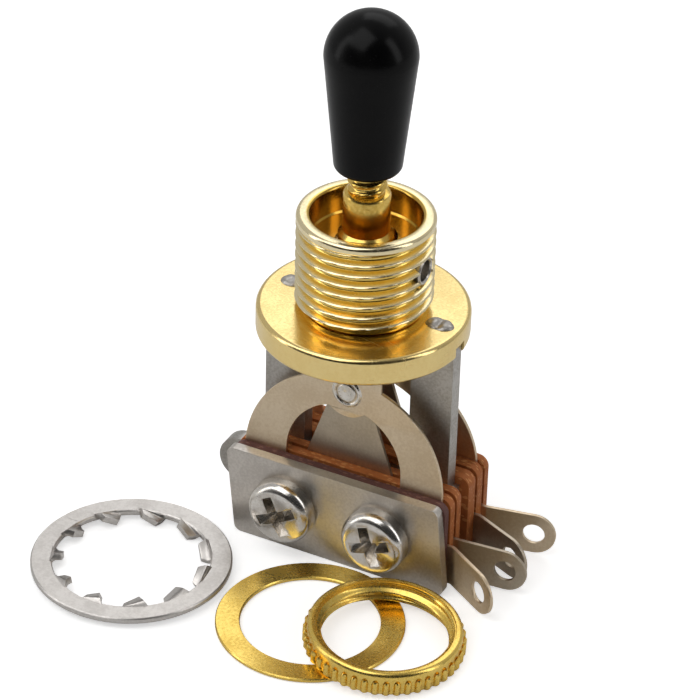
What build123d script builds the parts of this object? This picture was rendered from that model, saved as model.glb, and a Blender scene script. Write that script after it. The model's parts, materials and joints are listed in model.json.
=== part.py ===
from build123d import *
import math
import os

# Three-way lever switch on a threaded bushing, with its loose lock washer, flat washer and nut.
# Frame: the origin is on the bushing's axis at the flange's upper face. +Z runs up the bushing,
# +X points to the solder lugs, and -Y is the side of the screw heads. All sizes are millimetres.

# Bushing
THREAD_DIAMETER = 12.0
BARREL_HEIGHT = 9.0
BARREL_SEAM_TURN = 50.0
RIM_ROUND = 0.5
FLANGE_DIAMETER = 18.6
FLANGE_THICKNESS = 2.6
FLANGE_EDGE_ROUND = 0.35
MOUTH_DIAMETER = 9.6
MOUTH_DEPTH = 2.6
LEVER_SLOT_LENGTH = 8.2

# Lever, its pin, its tip and its cam
PIVOT_HEIGHT = 4.9
PIN_DIAMETER = 2.6
PIN_INSET = 0.3
PIN_CUP_DIAMETER = 1.7
PIN_CUP_DEPTH = 1.0
LEVER_DIAMETER = 4.1
HUB_DIAMETER = 4.8
HUB_HEIGHT = 4.4
NECK_DIAMETER = 3.4
SHOULDER_HEIGHT = 11.2
TIP_BOTTOM_HEIGHT = 13.4
TIP_LENGTH = 14.55
TIP_DIAMETER = 7.94
TIP_BOTTOM_DIAMETER = 5.9
TIP_EDGE_ROUND = 0.6
NECK_ENGAGEMENT = 6.6
CAM_TOP_DROP = 0.3
CAM_LENGTH = 4.4
CAM_WIDTH = 3.4
CAM_HEIGHT = 2.4
CAM_ROUND = 0.7
CAM_STUD_DIAMETER = 2.4
CAM_STUD_LENGTH = 2.0

# Contact stack, from the flange's upper face downwards
STACK_TOP = -15.6
STACK_HEIGHT = 8.8
STACK_WIDTH = 20.9
STACK_CORNER = 1.0
FRAME_THICKNESS = 1.5
BLADE_THICKNESS = 0.35
FRONT_FIBRE = {"inner": 0.9, "middle": 0.9, "outer": 0.8}
REAR_FIBRE = {"inner": 1.4, "middle": 1.15, "outer": 0.85}
METAL_INSET = 0.2

# Support frame
LEG_OUTER = 9.05
LEG_WIDTH = 3.95
LEG_CORNER = 0.9
LEG_SEAT_DEPTH = 1.2
CROSSBAR_DROP = 0.8
FRAME_INSET = 0.95
TAB_WIDTH = 2.4
TAB_CENTRE = 7.35
PEEN_LENGTH = 2.4
PEEN_WIDTH = 1.5
PEEN_HEIGHT = 0.12
GROUND_LUG_REACH = 3.2
GROUND_LUG_WIDTH = 4.4
GROUND_HOLE_DIAMETER = 1.9

# Contact blades
ARCH_RADIUS = 9.7
ARCH_CENTRE_DROP = 0.4
WINDOW_RADIUS = 5.6
WINDOW_CENTRE_RISE = 0.7
WINDOW_DEPTH = 1.0
CONTACT_HEIGHT = -7.75
BOSS_RADIUS = 2.5
BLADE_TAB_WIDTH = 6.6
BLADE_TAB_TOP = -3.3
BLADE_BEND_START = -5.6
BLADE_BEND_END = -4.5
BLADE_STRAIGHT_FROM = -9.8
INNER_BLADE_BASE_WIDTH = 8.3
INNER_BLADE_TOP_RADIUS = 1.5
CAM_GAP = 0.055

# Contact rivets
RIVET_SHANK_DIAMETER = 1.4
RIVET_HEAD_DIAMETER = 1.8
RIVET_HEAD_HEIGHT = 0.2
RIVET_BACK_DIAMETER = 1.5
RIVET_BACK_HEIGHT = 0.12
CONTACT_GAP = 0.025

# Solder lugs: how far each one turns towards the rear, in degrees
LUG_TURN = {"front_outer": -32.0, "front_inner": 4.7, "rear_inner": -24.0, "rear_outer": 11.6}
LUG_WIDTH = 4.0
LUG_BEND_OFFSET = 0.45
LUG_REACH = 4.4
LUG_HOLE_DIAMETER = 2.0

# Clamp plates, screws and sleeves
CLAMP_THICKNESS = 1.0
CLAMP_WIDTH = 20.8
CLAMP_SLANT = 0.9
CLAMP_SHIFT = 0.2
CLAMP_CORNER = 0.7
BACKING_THICKNESS = 1.5
BACKING_WIDTH = 18.4
BACKING_HEIGHT = 6.2
SCREW_DIAMETER = 2.9
SCREW_SPACING = 9.2
SCREW_HEAD_DIAMETER = 6.1
SCREW_HEAD_HEIGHT = 2.1
SCREW_HEAD_ROUND = 1.1
SCREW_END = 0.5
RECESS_LENGTH = 3.4
RECESS_WIDTH = 0.75
RECESS_DEPTH = 1.2
RECESS_TURN = {"left": 28.0, "right": 20.0}
SLEEVE_PLAY = 0.1
SLEEVE_WALL = 0.55

# Loose hardware for the bushing
LOCK_WASHER_DIAMETER = 17.8
LOCK_WASHER_BAND = 1.9
LOCK_WASHER_THICKNESS = 0.6
LOCK_TOOTH_COUNT = 11
LOCK_TOOTH_WIDTH = 1.9
LOCK_TOOTH_TWIST = 28.0
LOCK_BORE_GAP = 0.1
LOCK_WASHER_PLACE = (-15.0, -14.3)
FLAT_WASHER_DIAMETER = 16.5
FLAT_WASHER_THICKNESS = 0.4
FLAT_BORE_GAP = 0.1
FLAT_WASHER_PLACE = (2.6, -13.9)
NUT_DIAMETER = 14.1
NUT_HEIGHT = 2.2
NUT_BORE_DIAMETER = 11.0
NUT_BORE_CHAMFER = 0.5
NUT_EDGE_CHAMFER = 0.25
NUT_SHOULDER = 0.35
NUT_OFFSET = 7.1

# Clearances
RUNNING = 0.05
SLIP = 0.05
HUB_SIDE = 0.1
CUT = 1.0

STACK_BOTTOM = STACK_TOP - STACK_HEIGHT
STACK_MIDDLE = STACK_TOP - STACK_HEIGHT / 2
SCREW_LEVEL = STACK_MIDDLE
BLADE_BOTTOM = STACK_BOTTOM + METAL_INSET
LUG_LEVEL = BLADE_BOTTOM + LUG_WIDTH / 2
LEG_TOP = -FLANGE_THICKNESS + LEG_SEAT_DEPTH
CAM_TOP = -FLANGE_THICKNESS - CAM_TOP_DROP
SLEEVE_INNER_RADIUS = SCREW_DIAMETER / 2 + SLEEVE_PLAY
SLEEVE_OUTER_RADIUS = SLEEVE_INNER_RADIUS + SLEEVE_WALL
SLEEVE_HOLE_RADIUS = SLEEVE_OUTER_RADIUS + SLIP
SCREW_XS = {"left": -SCREW_SPACING / 2, "right": SCREW_SPACING / 2}


def block(low, high):
    """Return a box between its lowest and highest corners."""
    size = [b - a for a, b in zip(low, high)]
    middle = [(a + b) / 2 for a, b in zip(low, high)]
    return Pos(*middle) * Box(*size)


def round_bar(radius, start, end):
    """Return a cylinder between two points."""
    along = Vector(*end) - Vector(*start)
    plane = Plane(origin=start, z_dir=along)
    return extrude(plane * Circle(radius), amount=along.length)


def upright(sketch, front, rear):
    """Return a solid from a sketch in X and Z, standing between two Y levels."""
    plane = Plane(origin=(0, front, 0), x_dir=(1, 0, 0), z_dir=(0, -1, 0))
    return extrude(plane * sketch, amount=rear - front, dir=(0, 1, 0))


def turned(points):
    """Return a solid of revolution about Z from (radius, height) points."""
    profile = make_face(Polyline(*points, close=True))
    return revolve(Plane.XZ * profile, Axis.Z, 360)


def lay_out_stack():
    """Return each stack layer's front and rear Y level by name, from the frame outwards."""
    levels = {"frame": (-FRAME_THICKNESS / 2, FRAME_THICKNESS / 2)}
    for side, sign, fibre in (("front", -1, FRONT_FIBRE), ("rear", 1, REAR_FIBRE)):
        reach = FRAME_THICKNESS / 2
        for place in ("inner", "middle", "outer"):
            near = reach
            reach = near + fibre[place]
            levels[f"insulator_{side}_{place}"] = tuple(sorted((sign * near, sign * reach)))
            if place != "outer":
                blade = {"inner": "inner", "middle": "outer"}[place]
                near = reach
                reach = near + BLADE_THICKNESS
                levels[f"{side}_{blade}_blade"] = tuple(sorted((sign * near, sign * reach)))
    return levels


LEVELS = lay_out_stack()
STACK_FRONT = LEVELS["insulator_front_outer"][0]
STACK_REAR = LEVELS["insulator_rear_outer"][1]


def level_middle(name):
    """Return the Y level of the middle of a stack layer."""
    return sum(LEVELS[name]) / 2


def screw_holes(radius):
    """Return the two bars that cut a stack layer for the screws or their sleeves."""
    front = STACK_FRONT - CLAMP_THICKNESS - CUT
    rear = STACK_REAR + BACKING_THICKNESS + CUT
    xs = SCREW_XS.values()
    left, right = [round_bar(radius, (x, front, SCREW_LEVEL), (x, rear, SCREW_LEVEL)) for x in xs]
    return left + right


def contact_levels(side):
    """Return the sign of a side and the Y levels of its inner blade's face and outer blade's middle."""
    sign = -1 if side == "front" else 1
    inner_face = max(abs(level) for level in LEVELS[f"{side}_inner_blade"])
    outer_middle = inner_face + 2 * RIVET_HEAD_HEIGHT + CONTACT_GAP + BLADE_THICKNESS / 2
    return sign, inner_face, outer_middle


def make_bushing():
    """Make the threaded barrel and flange, with the lever's slot, pin holes and frame seats."""
    barrel = THREAD_DIAMETER / 2
    rim = FLANGE_DIAMETER / 2
    bottom = -FLANGE_THICKNESS
    edge = FLANGE_EDGE_ROUND
    # The seam line of the round faces is kept clear of the pin holes.
    solid = Rot(0, 0, BARREL_SEAM_TURN) * turned(
        [
            (0, bottom), (rim - edge, bottom), (rim, bottom + edge), (rim, -edge), (rim - edge, 0),
            (barrel, 0), (barrel, BARREL_HEIGHT - RIM_ROUND), (barrel - RIM_ROUND, BARREL_HEIGHT),
            (0, BARREL_HEIGHT),
        ]
    )
    mouth_floor = BARREL_HEIGHT - MOUTH_DEPTH
    solid -= round_bar(MOUTH_DIAMETER / 2, (0, 0, mouth_floor), (0, 0, BARREL_HEIGHT + CUT))
    slot_half = HUB_DIAMETER / 2 + HUB_SIDE
    slot_end = LEVER_SLOT_LENGTH / 2
    solid -= block((-slot_half, -slot_end, bottom - CUT), (slot_half, slot_end, mouth_floor + CUT))
    hole = PIN_DIAMETER / 2 + RUNNING
    solid -= round_bar(hole, (-barrel - CUT, 0, PIVOT_HEIGHT), (barrel + CUT, 0, PIVOT_HEIGHT))
    half_thick = FRAME_THICKNESS / 2 + SLIP
    for side in (-1, 1):
        inner = LEG_OUTER - LEG_WIDTH - SLIP
        xs = sorted((side * inner, side * (rim + CUT)))
        solid -= block((xs[0], -half_thick, bottom - CUT), (xs[1], half_thick, LEG_TOP))
        xs = sorted(side * (TAB_CENTRE + end * (TAB_WIDTH / 2 + SLIP)) for end in (-1, 1))
        solid -= block((xs[0], -half_thick, LEG_TOP - CUT), (xs[1], half_thick, CUT))
    return solid


def make_pin():
    """Make the cross pin that the lever turns on, cupped at both ends."""
    half = THREAD_DIAMETER / 2 - PIN_INSET
    pin = round_bar(PIN_DIAMETER / 2, (-half, 0, PIVOT_HEIGHT), (half, 0, PIVOT_HEIGHT))
    for side in (-1, 1):
        start = (side * (half - PIN_CUP_DEPTH), 0, PIVOT_HEIGHT)
        pin -= round_bar(PIN_CUP_DIAMETER / 2, start, (side * (half + CUT), 0, PIVOT_HEIGHT))
    return pin


def make_lever():
    """Make the lever: threaded neck, shoulder, shaft, hub round the pin, and the cam's stud."""
    shaft = LEVER_DIAMETER / 2
    neck = NECK_DIAMETER / 2
    hub = HUB_DIAMETER / 2
    stud = CAM_STUD_DIAMETER / 2
    hub_low = PIVOT_HEIGHT - HUB_HEIGHT / 2
    hub_high = PIVOT_HEIGHT + HUB_HEIGHT / 2
    step = hub - shaft
    shoulder = shaft - neck
    top = TIP_BOTTOM_HEIGHT + NECK_ENGAGEMENT
    stud_end = CAM_TOP - CAM_STUD_LENGTH
    lever = turned(
        [
            (0, stud_end), (stud, stud_end), (stud, CAM_TOP), (shaft, CAM_TOP),
            (shaft, hub_low - step), (hub, hub_low), (hub, hub_high), (shaft, hub_high + step),
            (shaft, SHOULDER_HEIGHT - shoulder), (neck, SHOULDER_HEIGHT), (neck, top - shoulder),
            (neck - shoulder, top), (0, top),
        ]
    )
    hole = PIN_DIAMETER / 2 + RUNNING
    return lever - round_bar(hole, (-hub - CUT, 0, PIVOT_HEIGHT), (hub + CUT, 0, PIVOT_HEIGHT))


def make_tip():
    """Make the moulded tip: a tapered bulb with a domed top and a blind threaded hole."""
    bottom = TIP_BOTTOM_DIAMETER / 2
    widest = TIP_DIAMETER / 2
    dome_level = TIP_BOTTOM_HEIGHT + TIP_LENGTH - widest
    foot = TIP_BOTTOM_HEIGHT
    side = [(bottom - TIP_EDGE_ROUND, foot), (bottom, foot + TIP_EDGE_ROUND), (widest, dome_level)]
    outline = Polyline((0, foot), *side)
    dome = CenterArc((0, dome_level), widest, 0, 90)
    axis = Line((0, dome_level + widest), (0, foot))
    tip = revolve(Plane.XZ * make_face([outline, dome, axis]), Axis.Z, 360)
    hole = NECK_DIAMETER / 2 + SLIP
    return tip - round_bar(hole, (0, 0, foot - CUT), (0, 0, foot + NECK_ENGAGEMENT + SLIP))


def make_cam():
    """Make the insulating shoe on the lever's lower end, which pushes the arched blades."""
    half_length = CAM_LENGTH / 2
    half_width = CAM_WIDTH / 2
    cam = block((-half_length, -half_width, CAM_TOP - CAM_HEIGHT), (half_length, half_width, CAM_TOP))
    cam = fillet(cam.edges().filter_by(Axis.X), CAM_ROUND)
    socket = CAM_STUD_DIAMETER / 2 + SLIP
    return cam - round_bar(socket, (0, 0, CAM_TOP + CUT), (0, 0, CAM_TOP - CAM_STUD_LENGTH - SLIP))


def make_frame():
    """Make the flat steel frame: crossbar, two legs with peened tabs, and the ground lug."""
    front, rear = LEVELS["frame"]
    bar_top = STACK_TOP - CROSSBAR_DROP
    bar_end = STACK_WIDTH / 2 - FRAME_INSET
    sketch = Pos(0, (bar_top + BLADE_BOTTOM) / 2) * Rectangle(2 * bar_end, bar_top - BLADE_BOTTOM)
    lug_end = STACK_WIDTH / 2 + GROUND_LUG_REACH
    lug_radius = GROUND_LUG_WIDTH / 2
    lug_centre = lug_radius - lug_end
    lug_root = CUT - bar_end
    lug_length = lug_root - lug_centre
    sketch += Pos(lug_centre + lug_length / 2, STACK_MIDDLE) * Rectangle(lug_length, GROUND_LUG_WIDTH)
    sketch += Pos(lug_centre, STACK_MIDDLE) * Circle(lug_radius)
    leg_centre = LEG_OUTER - LEG_WIDTH / 2
    leg_height = LEG_TOP - BLADE_BOTTOM
    for side in (-1, 1):
        leg = Pos(side * leg_centre, BLADE_BOTTOM + leg_height / 2) * Rectangle(LEG_WIDTH, leg_height)
        corner = leg.vertices().sort_by(Axis.Y)[-2:].sort_by(Axis.X)[0 if side < 0 else -1]
        sketch += fillet(corner, LEG_CORNER)
        sketch += Pos(side * TAB_CENTRE, LEG_TOP / 2) * Rectangle(TAB_WIDTH, -LEG_TOP)
    sketch -= Pos(lug_centre, STACK_MIDDLE) * Circle(GROUND_HOLE_DIAMETER / 2)
    frame = upright(sketch, front, rear)
    for side in (-1, 1):
        head = Plane.XY * Pos(side * TAB_CENTRE, 0) * SlotOverall(PEEN_LENGTH, PEEN_WIDTH)
        frame += extrude(head, amount=PEEN_HEIGHT)
    return frame - screw_holes(SLEEVE_HOLE_RADIUS)


def make_insulator(name):
    """Make one fibre plate of the stack."""
    sketch = Pos(0, STACK_MIDDLE) * RectangleRounded(STACK_WIDTH, STACK_HEIGHT, STACK_CORNER)
    return upright(sketch, *LEVELS[name]) - screw_holes(SLEEVE_HOLE_RADIUS)


def make_lug(name):
    """Make a blade's solder lug, which leaves the stack at +X and turns about its bend line."""
    middle = level_middle(f"{name}_blade")
    half_thick = BLADE_THICKNESS / 2
    bend_x = STACK_WIDTH / 2 + LUG_BEND_OFFSET
    low = LUG_LEVEL - LUG_WIDTH / 2
    high = LUG_LEVEL + LUG_WIDTH / 2
    stub_start = SCREW_XS["right"] + SLEEVE_HOLE_RADIUS + CUT
    stub = block((stub_start, middle - half_thick, low), (bend_x, middle + half_thick, high))
    flat = Pos(LUG_REACH / 2, 0) * Rectangle(LUG_REACH, LUG_WIDTH) + Pos(LUG_REACH, 0) * Circle(LUG_WIDTH / 2)
    flat -= Pos(LUG_REACH, 0) * Circle(LUG_HOLE_DIAMETER / 2)
    blank = upright(flat, -half_thick, half_thick)
    turned_blank = Pos(bend_x, middle, LUG_LEVEL) * Rot(0, 0, LUG_TURN[name]) * blank
    corner = round_bar(half_thick, (bend_x, middle, low), (bend_x, middle, high))
    return stub + turned_blank + corner


def outer_blade_profile(side):
    """Return the outer blade's side view as (Y, Z) points, from its foot to its tab."""
    sign, _, contact_middle = contact_levels(side)
    root = abs(level_middle(f"{side}_outer_blade"))
    tab = CAM_WIDTH / 2 + CAM_GAP + BLADE_THICKNESS / 2
    points = [
        (root, BLADE_BOTTOM - CUT), (root, STACK_TOP), (contact_middle, BLADE_STRAIGHT_FROM),
        (contact_middle, BLADE_BEND_START), (tab, BLADE_BEND_END), (tab, BLADE_TAB_TOP + CUT),
    ]
    return [(sign * y, z) for y, z in points]


def make_outer_blade(side):
    """Make an arched blade: foot in the stack, arch, boss for the rivet, tab at the cam, lug."""
    half_thick = BLADE_THICKNESS / 2
    arch_centre = STACK_TOP - ARCH_CENTRE_DROP
    sketch = Pos(0, (arch_centre + BLADE_BOTTOM) / 2) * Rectangle(2 * ARCH_RADIUS, arch_centre - BLADE_BOTTOM)
    upper = Pos(0, arch_centre + ARCH_RADIUS / 2) * Rectangle(2 * ARCH_RADIUS, ARCH_RADIUS)
    sketch += (Pos(0, arch_centre) * Circle(ARCH_RADIUS)) & upper
    window_centre = STACK_TOP + WINDOW_CENTRE_RISE
    window_foot = STACK_TOP - WINDOW_DEPTH
    sketch -= Pos(0, window_centre) * Circle(WINDOW_RADIUS)
    window_side = window_centre - window_foot
    sketch -= Pos(0, window_foot + window_side / 2) * Rectangle(2 * WINDOW_RADIUS, window_side)
    foot_fill = WINDOW_RADIUS - window_side
    sketch += Pos(0, window_foot - foot_fill / 2) * Rectangle(2 * WINDOW_RADIUS, foot_fill)
    sketch += Pos(0, CONTACT_HEIGHT) * Circle(BOSS_RADIUS)
    tab_height = BLADE_TAB_TOP - CONTACT_HEIGHT
    sketch += Pos(0, CONTACT_HEIGHT + tab_height / 2) * Rectangle(BLADE_TAB_WIDTH, tab_height)
    sketch -= Pos(0, CONTACT_HEIGHT) * Circle(RIVET_SHANK_DIAMETER / 2 + SLIP / 2)
    reach = max(-STACK_FRONT, STACK_REAR) + CUT
    blank = upright(sketch, -reach, reach)
    points = outer_blade_profile(side)
    side_view = [(y - half_thick, z) for y, z in points] + [(y + half_thick, z) for y, z in reversed(points)]
    strip_plane = Plane(origin=(-ARCH_RADIUS - CUT, 0, 0), x_dir=(0, 1, 0), z_dir=(1, 0, 0))
    strip = extrude(strip_plane * make_face(Polyline(*side_view, close=True)), amount=2 * (ARCH_RADIUS + CUT))
    return (blank & strip) + make_lug(f"{side}_outer") - screw_holes(SLEEVE_HOLE_RADIUS)


def make_inner_blade(side):
    """Make a tapered blade: foot in the stack, tapered leaf with a round top, lug."""
    foot_end = STACK_WIDTH / 2 - FRAME_INSET
    sketch = Pos(0, (STACK_TOP + BLADE_BOTTOM) / 2 - METAL_INSET) * Rectangle(
        2 * foot_end, STACK_TOP - BLADE_BOTTOM - 2 * METAL_INSET
    )
    half_base = INNER_BLADE_BASE_WIDTH / 2
    half_top = INNER_BLADE_TOP_RADIUS
    low = STACK_TOP - 2 * METAL_INSET - CUT / 2
    leaf = Polyline(
        (-half_base, low), (half_base, low), (half_base, STACK_TOP), (half_top, CONTACT_HEIGHT),
        (-half_top, CONTACT_HEIGHT), (-half_base, STACK_TOP), close=True,
    )
    sketch += make_face(leaf)
    sketch += Pos(0, CONTACT_HEIGHT) * Circle(half_top)
    sketch -= Pos(0, CONTACT_HEIGHT) * Circle(RIVET_SHANK_DIAMETER / 2 + SLIP / 2)
    blade = upright(sketch, *LEVELS[f"{side}_inner_blade"])
    return blade + make_lug(f"{side}_inner") - screw_holes(SLEEVE_HOLE_RADIUS)


def make_rivet(near, far, head_at_far):
    """Make a contact rivet through a blade whose faces are at two Y levels."""
    direction = 1 if far > near else -1
    head_side, back_side = (far, near) if head_at_far else (near, far)
    outward = direction if head_at_far else -direction
    centre = (0, CONTACT_HEIGHT)
    rivet = round_bar(RIVET_SHANK_DIAMETER / 2, (centre[0], near, centre[1]), (centre[0], far, centre[1]))
    head_end = head_side + outward * RIVET_HEAD_HEIGHT
    rivet += round_bar(RIVET_HEAD_DIAMETER / 2, (0, head_side, centre[1]), (0, head_end, centre[1]))
    back_end = back_side - outward * RIVET_BACK_HEIGHT
    rivet += round_bar(RIVET_BACK_DIAMETER / 2, (0, back_side, centre[1]), (0, back_end, centre[1]))
    return rivet


def make_outer_contact(side):
    """Make the rivet in an arched blade's boss, with its head towards the inner blade."""
    sign, _, middle = contact_levels(side)
    near = sign * (middle - BLADE_THICKNESS / 2)
    far = sign * (middle + BLADE_THICKNESS / 2)
    return make_rivet(near, far, head_at_far=False)


def make_inner_contact(side):
    """Make the rivet in a tapered blade, with its head towards the outer blade."""
    sign, face, _ = contact_levels(side)
    near = sign * (face - BLADE_THICKNESS)
    return make_rivet(near, sign * face, head_at_far=True)


def make_front_clamp():
    """Make the clamp plate under the screw heads, cut off with slanted ends."""
    half = CLAMP_WIDTH / 2
    lean = CLAMP_SLANT / 2
    outline = Polyline(
        (CLAMP_SHIFT - half - lean, STACK_TOP), (CLAMP_SHIFT + half - lean, STACK_TOP),
        (CLAMP_SHIFT + half + lean, STACK_BOTTOM), (CLAMP_SHIFT - half + lean, STACK_BOTTOM), close=True,
    )
    sketch = make_face(outline)
    sketch = fillet(sketch.vertices(), CLAMP_CORNER)
    plate = upright(sketch, STACK_FRONT - CLAMP_THICKNESS, STACK_FRONT)
    return plate - screw_holes(SCREW_DIAMETER / 2 + SLIP)


def make_rear_clamp():
    """Make the tapped backing plate behind the stack."""
    sketch = Pos(0, STACK_MIDDLE) * RectangleRounded(BACKING_WIDTH, BACKING_HEIGHT, CLAMP_CORNER)
    plate = upright(sketch, STACK_REAR, STACK_REAR + BACKING_THICKNESS)
    return plate - screw_holes(SCREW_DIAMETER / 2 + SLIP)


def make_screw(side):
    """Make a pan-head screw with a cross recess, from the front clamp plate to past the rear one."""
    x = SCREW_XS[side]
    under_head = STACK_FRONT - CLAMP_THICKNESS
    face = under_head - SCREW_HEAD_HEIGHT
    tail = STACK_REAR + BACKING_THICKNESS + SCREW_END
    shank = round_bar(SCREW_DIAMETER / 2, (x, under_head, SCREW_LEVEL), (x, tail, SCREW_LEVEL))
    head = round_bar(SCREW_HEAD_DIAMETER / 2, (x, face, SCREW_LEVEL), (x, under_head, SCREW_LEVEL))
    head = fillet(head.edges().filter_by(GeomType.CIRCLE).sort_by(Axis.Y)[0], SCREW_HEAD_ROUND)
    half_long = RECESS_LENGTH / 2
    half_wide = RECESS_WIDTH / 2
    bar = block((-half_long, -CUT, -half_wide), (half_long, RECESS_DEPTH, half_wide))
    cross = bar + Rot(0, 90, 0) * bar
    return head + shank - Pos(x, face, SCREW_LEVEL) * Rot(0, RECESS_TURN[side], 0) * cross


def make_sleeve(side):
    """Make the insulating tube round a screw, between the two clamp plates."""
    x = SCREW_XS[side]
    ends = ((x, STACK_FRONT, SCREW_LEVEL), (x, STACK_REAR, SCREW_LEVEL))
    return round_bar(SLEEVE_OUTER_RADIUS, *ends) - round_bar(SLEEVE_INNER_RADIUS, *ends)


def make_lock_washer():
    """Make the internal-tooth lock washer, its teeth twisted out of its plane."""
    outer = LOCK_WASHER_DIAMETER / 2
    bore = THREAD_DIAMETER / 2 + LOCK_BORE_GAP
    band_inner = outer - LOCK_WASHER_BAND
    half_thick = LOCK_WASHER_THICKNESS / 2
    twist = math.radians(LOCK_TOOTH_TWIST)
    rise = LOCK_TOOTH_WIDTH / 2 * math.sin(twist) + half_thick * math.cos(twist)
    ring = round_bar(outer, (0, 0, -half_thick), (0, 0, half_thick))
    ring -= round_bar(band_inner, (0, 0, -CUT), (0, 0, CUT))
    tooth_length = band_inner - bore + LOCK_WASHER_BAND / 3
    tooth = Pos(bore + tooth_length / 2, 0, 0) * Rot(LOCK_TOOTH_TWIST, 0, 0) * Box(
        tooth_length, LOCK_TOOTH_WIDTH, LOCK_WASHER_THICKNESS
    )
    for index in range(LOCK_TOOTH_COUNT):
        ring += Rot(0, 0, 360 * index / LOCK_TOOTH_COUNT) * tooth
    return Pos(*LOCK_WASHER_PLACE, STACK_BOTTOM + rise) * ring


def make_flat_washer():
    """Make the thin flat washer."""
    outer = FLAT_WASHER_DIAMETER / 2
    bore = THREAD_DIAMETER / 2 + FLAT_BORE_GAP
    ring = round_bar(outer, (0, 0, 0), (0, 0, FLAT_WASHER_THICKNESS))
    ring -= round_bar(bore, (0, 0, -CUT), (0, 0, CUT))
    return Pos(*FLAT_WASHER_PLACE, STACK_BOTTOM) * ring


def nut_lean():
    """Return the nut's lean in degrees where it rests on the flat washer's edge and the floor."""
    washer = FLAT_WASHER_DIAMETER / 2
    bore = NUT_BORE_DIAMETER / 2 + NUT_BORE_CHAMFER
    edge = (washer ** 2 - bore ** 2 + NUT_OFFSET ** 2) / (2 * NUT_OFFSET)
    span = NUT_OFFSET + NUT_DIAMETER / 2 - edge
    return math.degrees(math.atan2(FLAT_WASHER_THICKNESS + SLIP, span))


def make_nut():
    """Make the round nut, leaning with one side on the flat washer."""
    outer = NUT_DIAMETER / 2
    bore = NUT_BORE_DIAMETER / 2
    knurl_top = NUT_HEIGHT - NUT_SHOULDER
    nut = turned(
        [
            (bore + NUT_BORE_CHAMFER, 0), (outer - NUT_EDGE_CHAMFER, 0), (outer, NUT_EDGE_CHAMFER),
            (outer, knurl_top - NUT_EDGE_CHAMFER), (outer - NUT_EDGE_CHAMFER, knurl_top),
            (outer - NUT_SHOULDER - NUT_EDGE_CHAMFER, NUT_HEIGHT), (bore + NUT_BORE_CHAMFER, NUT_HEIGHT),
            (bore, NUT_HEIGHT - NUT_BORE_CHAMFER), (bore, NUT_BORE_CHAMFER),
        ]
    )
    far_edge = FLAT_WASHER_PLACE[0] + NUT_OFFSET + outer
    leaning = Rot(0, nut_lean(), 0) * Pos(-outer, 0, 0) * nut
    return Pos(far_edge, FLAT_WASHER_PLACE[1], STACK_BOTTOM) * leaning


def make_all():
    """Return every node's solid by name."""
    nodes = {
        "threaded_bushing": make_bushing(),
        "pivot_pin": make_pin(),
        "toggle_lever": make_lever(),
        "lever_tip": make_tip(),
        "lever_cam": make_cam(),
        "support_frame": make_frame(),
        "front_clamp_plate": make_front_clamp(),
        "rear_clamp_plate": make_rear_clamp(),
        "lock_washer": make_lock_washer(),
        "flat_washer": make_flat_washer(),
        "knurled_nut": make_nut(),
    }
    for side in ("left", "right"):
        nodes[f"screw_{side}"] = make_screw(side)
        nodes[f"{side}_screw_sleeve"] = make_sleeve(side)
    for side in ("front", "rear"):
        nodes[f"{side}_outer_blade"] = make_outer_blade(side)
        nodes[f"{side}_inner_blade"] = make_inner_blade(side)
        nodes[f"{side}_outer_contact"] = make_outer_contact(side)
        nodes[f"{side}_inner_contact"] = make_inner_contact(side)
        for place in ("inner", "middle", "outer"):
            name = f"insulator_{side}_{place}"
            nodes[name] = make_insulator(name)
    return nodes


os.makedirs("parts", exist_ok=True)
for node, shape in make_all().items():
    export_step(shape, f"parts/{node}.step")
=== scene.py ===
"""A three-position lever switch with its loose lock washer, flat washer and nut.

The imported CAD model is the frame. Pieces are built round its nodes, ride on its bodies, and get
their finishes here. Meshes are worked in millimetres and turned into metres when they are placed.
"""

import json
import logging
import math
from contextlib import contextmanager
from dataclasses import dataclass, replace
from enum import Enum
from functools import reduce
from typing import Any, Iterator, Sequence

import bmesh
import bpy
from mathutils import Matrix, Vector, noise


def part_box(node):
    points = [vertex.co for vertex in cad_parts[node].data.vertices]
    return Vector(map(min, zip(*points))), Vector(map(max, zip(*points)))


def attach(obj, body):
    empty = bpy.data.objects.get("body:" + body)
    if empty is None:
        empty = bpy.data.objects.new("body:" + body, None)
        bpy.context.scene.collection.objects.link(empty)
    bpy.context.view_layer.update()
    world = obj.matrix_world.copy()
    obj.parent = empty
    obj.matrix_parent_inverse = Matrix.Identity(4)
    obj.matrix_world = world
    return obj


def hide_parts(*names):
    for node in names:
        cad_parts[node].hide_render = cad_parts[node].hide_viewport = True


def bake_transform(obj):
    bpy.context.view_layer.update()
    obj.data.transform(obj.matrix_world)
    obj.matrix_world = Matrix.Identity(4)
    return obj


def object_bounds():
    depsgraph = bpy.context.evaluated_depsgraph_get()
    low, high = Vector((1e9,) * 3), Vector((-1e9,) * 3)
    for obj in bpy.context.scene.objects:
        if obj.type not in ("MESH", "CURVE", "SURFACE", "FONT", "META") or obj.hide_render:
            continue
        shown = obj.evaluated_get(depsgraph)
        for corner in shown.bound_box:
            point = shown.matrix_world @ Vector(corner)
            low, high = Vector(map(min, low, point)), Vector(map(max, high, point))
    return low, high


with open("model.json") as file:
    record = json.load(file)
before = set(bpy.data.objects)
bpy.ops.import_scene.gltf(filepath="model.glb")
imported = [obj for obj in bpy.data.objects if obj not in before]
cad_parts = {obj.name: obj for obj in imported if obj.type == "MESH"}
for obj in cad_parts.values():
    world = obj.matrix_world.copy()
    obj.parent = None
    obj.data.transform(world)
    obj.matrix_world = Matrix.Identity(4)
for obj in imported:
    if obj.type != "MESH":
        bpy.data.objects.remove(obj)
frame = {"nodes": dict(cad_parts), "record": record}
CAD_BOX = [list(corner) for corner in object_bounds()]

log = logging.getLogger("lever_switch")

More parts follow.
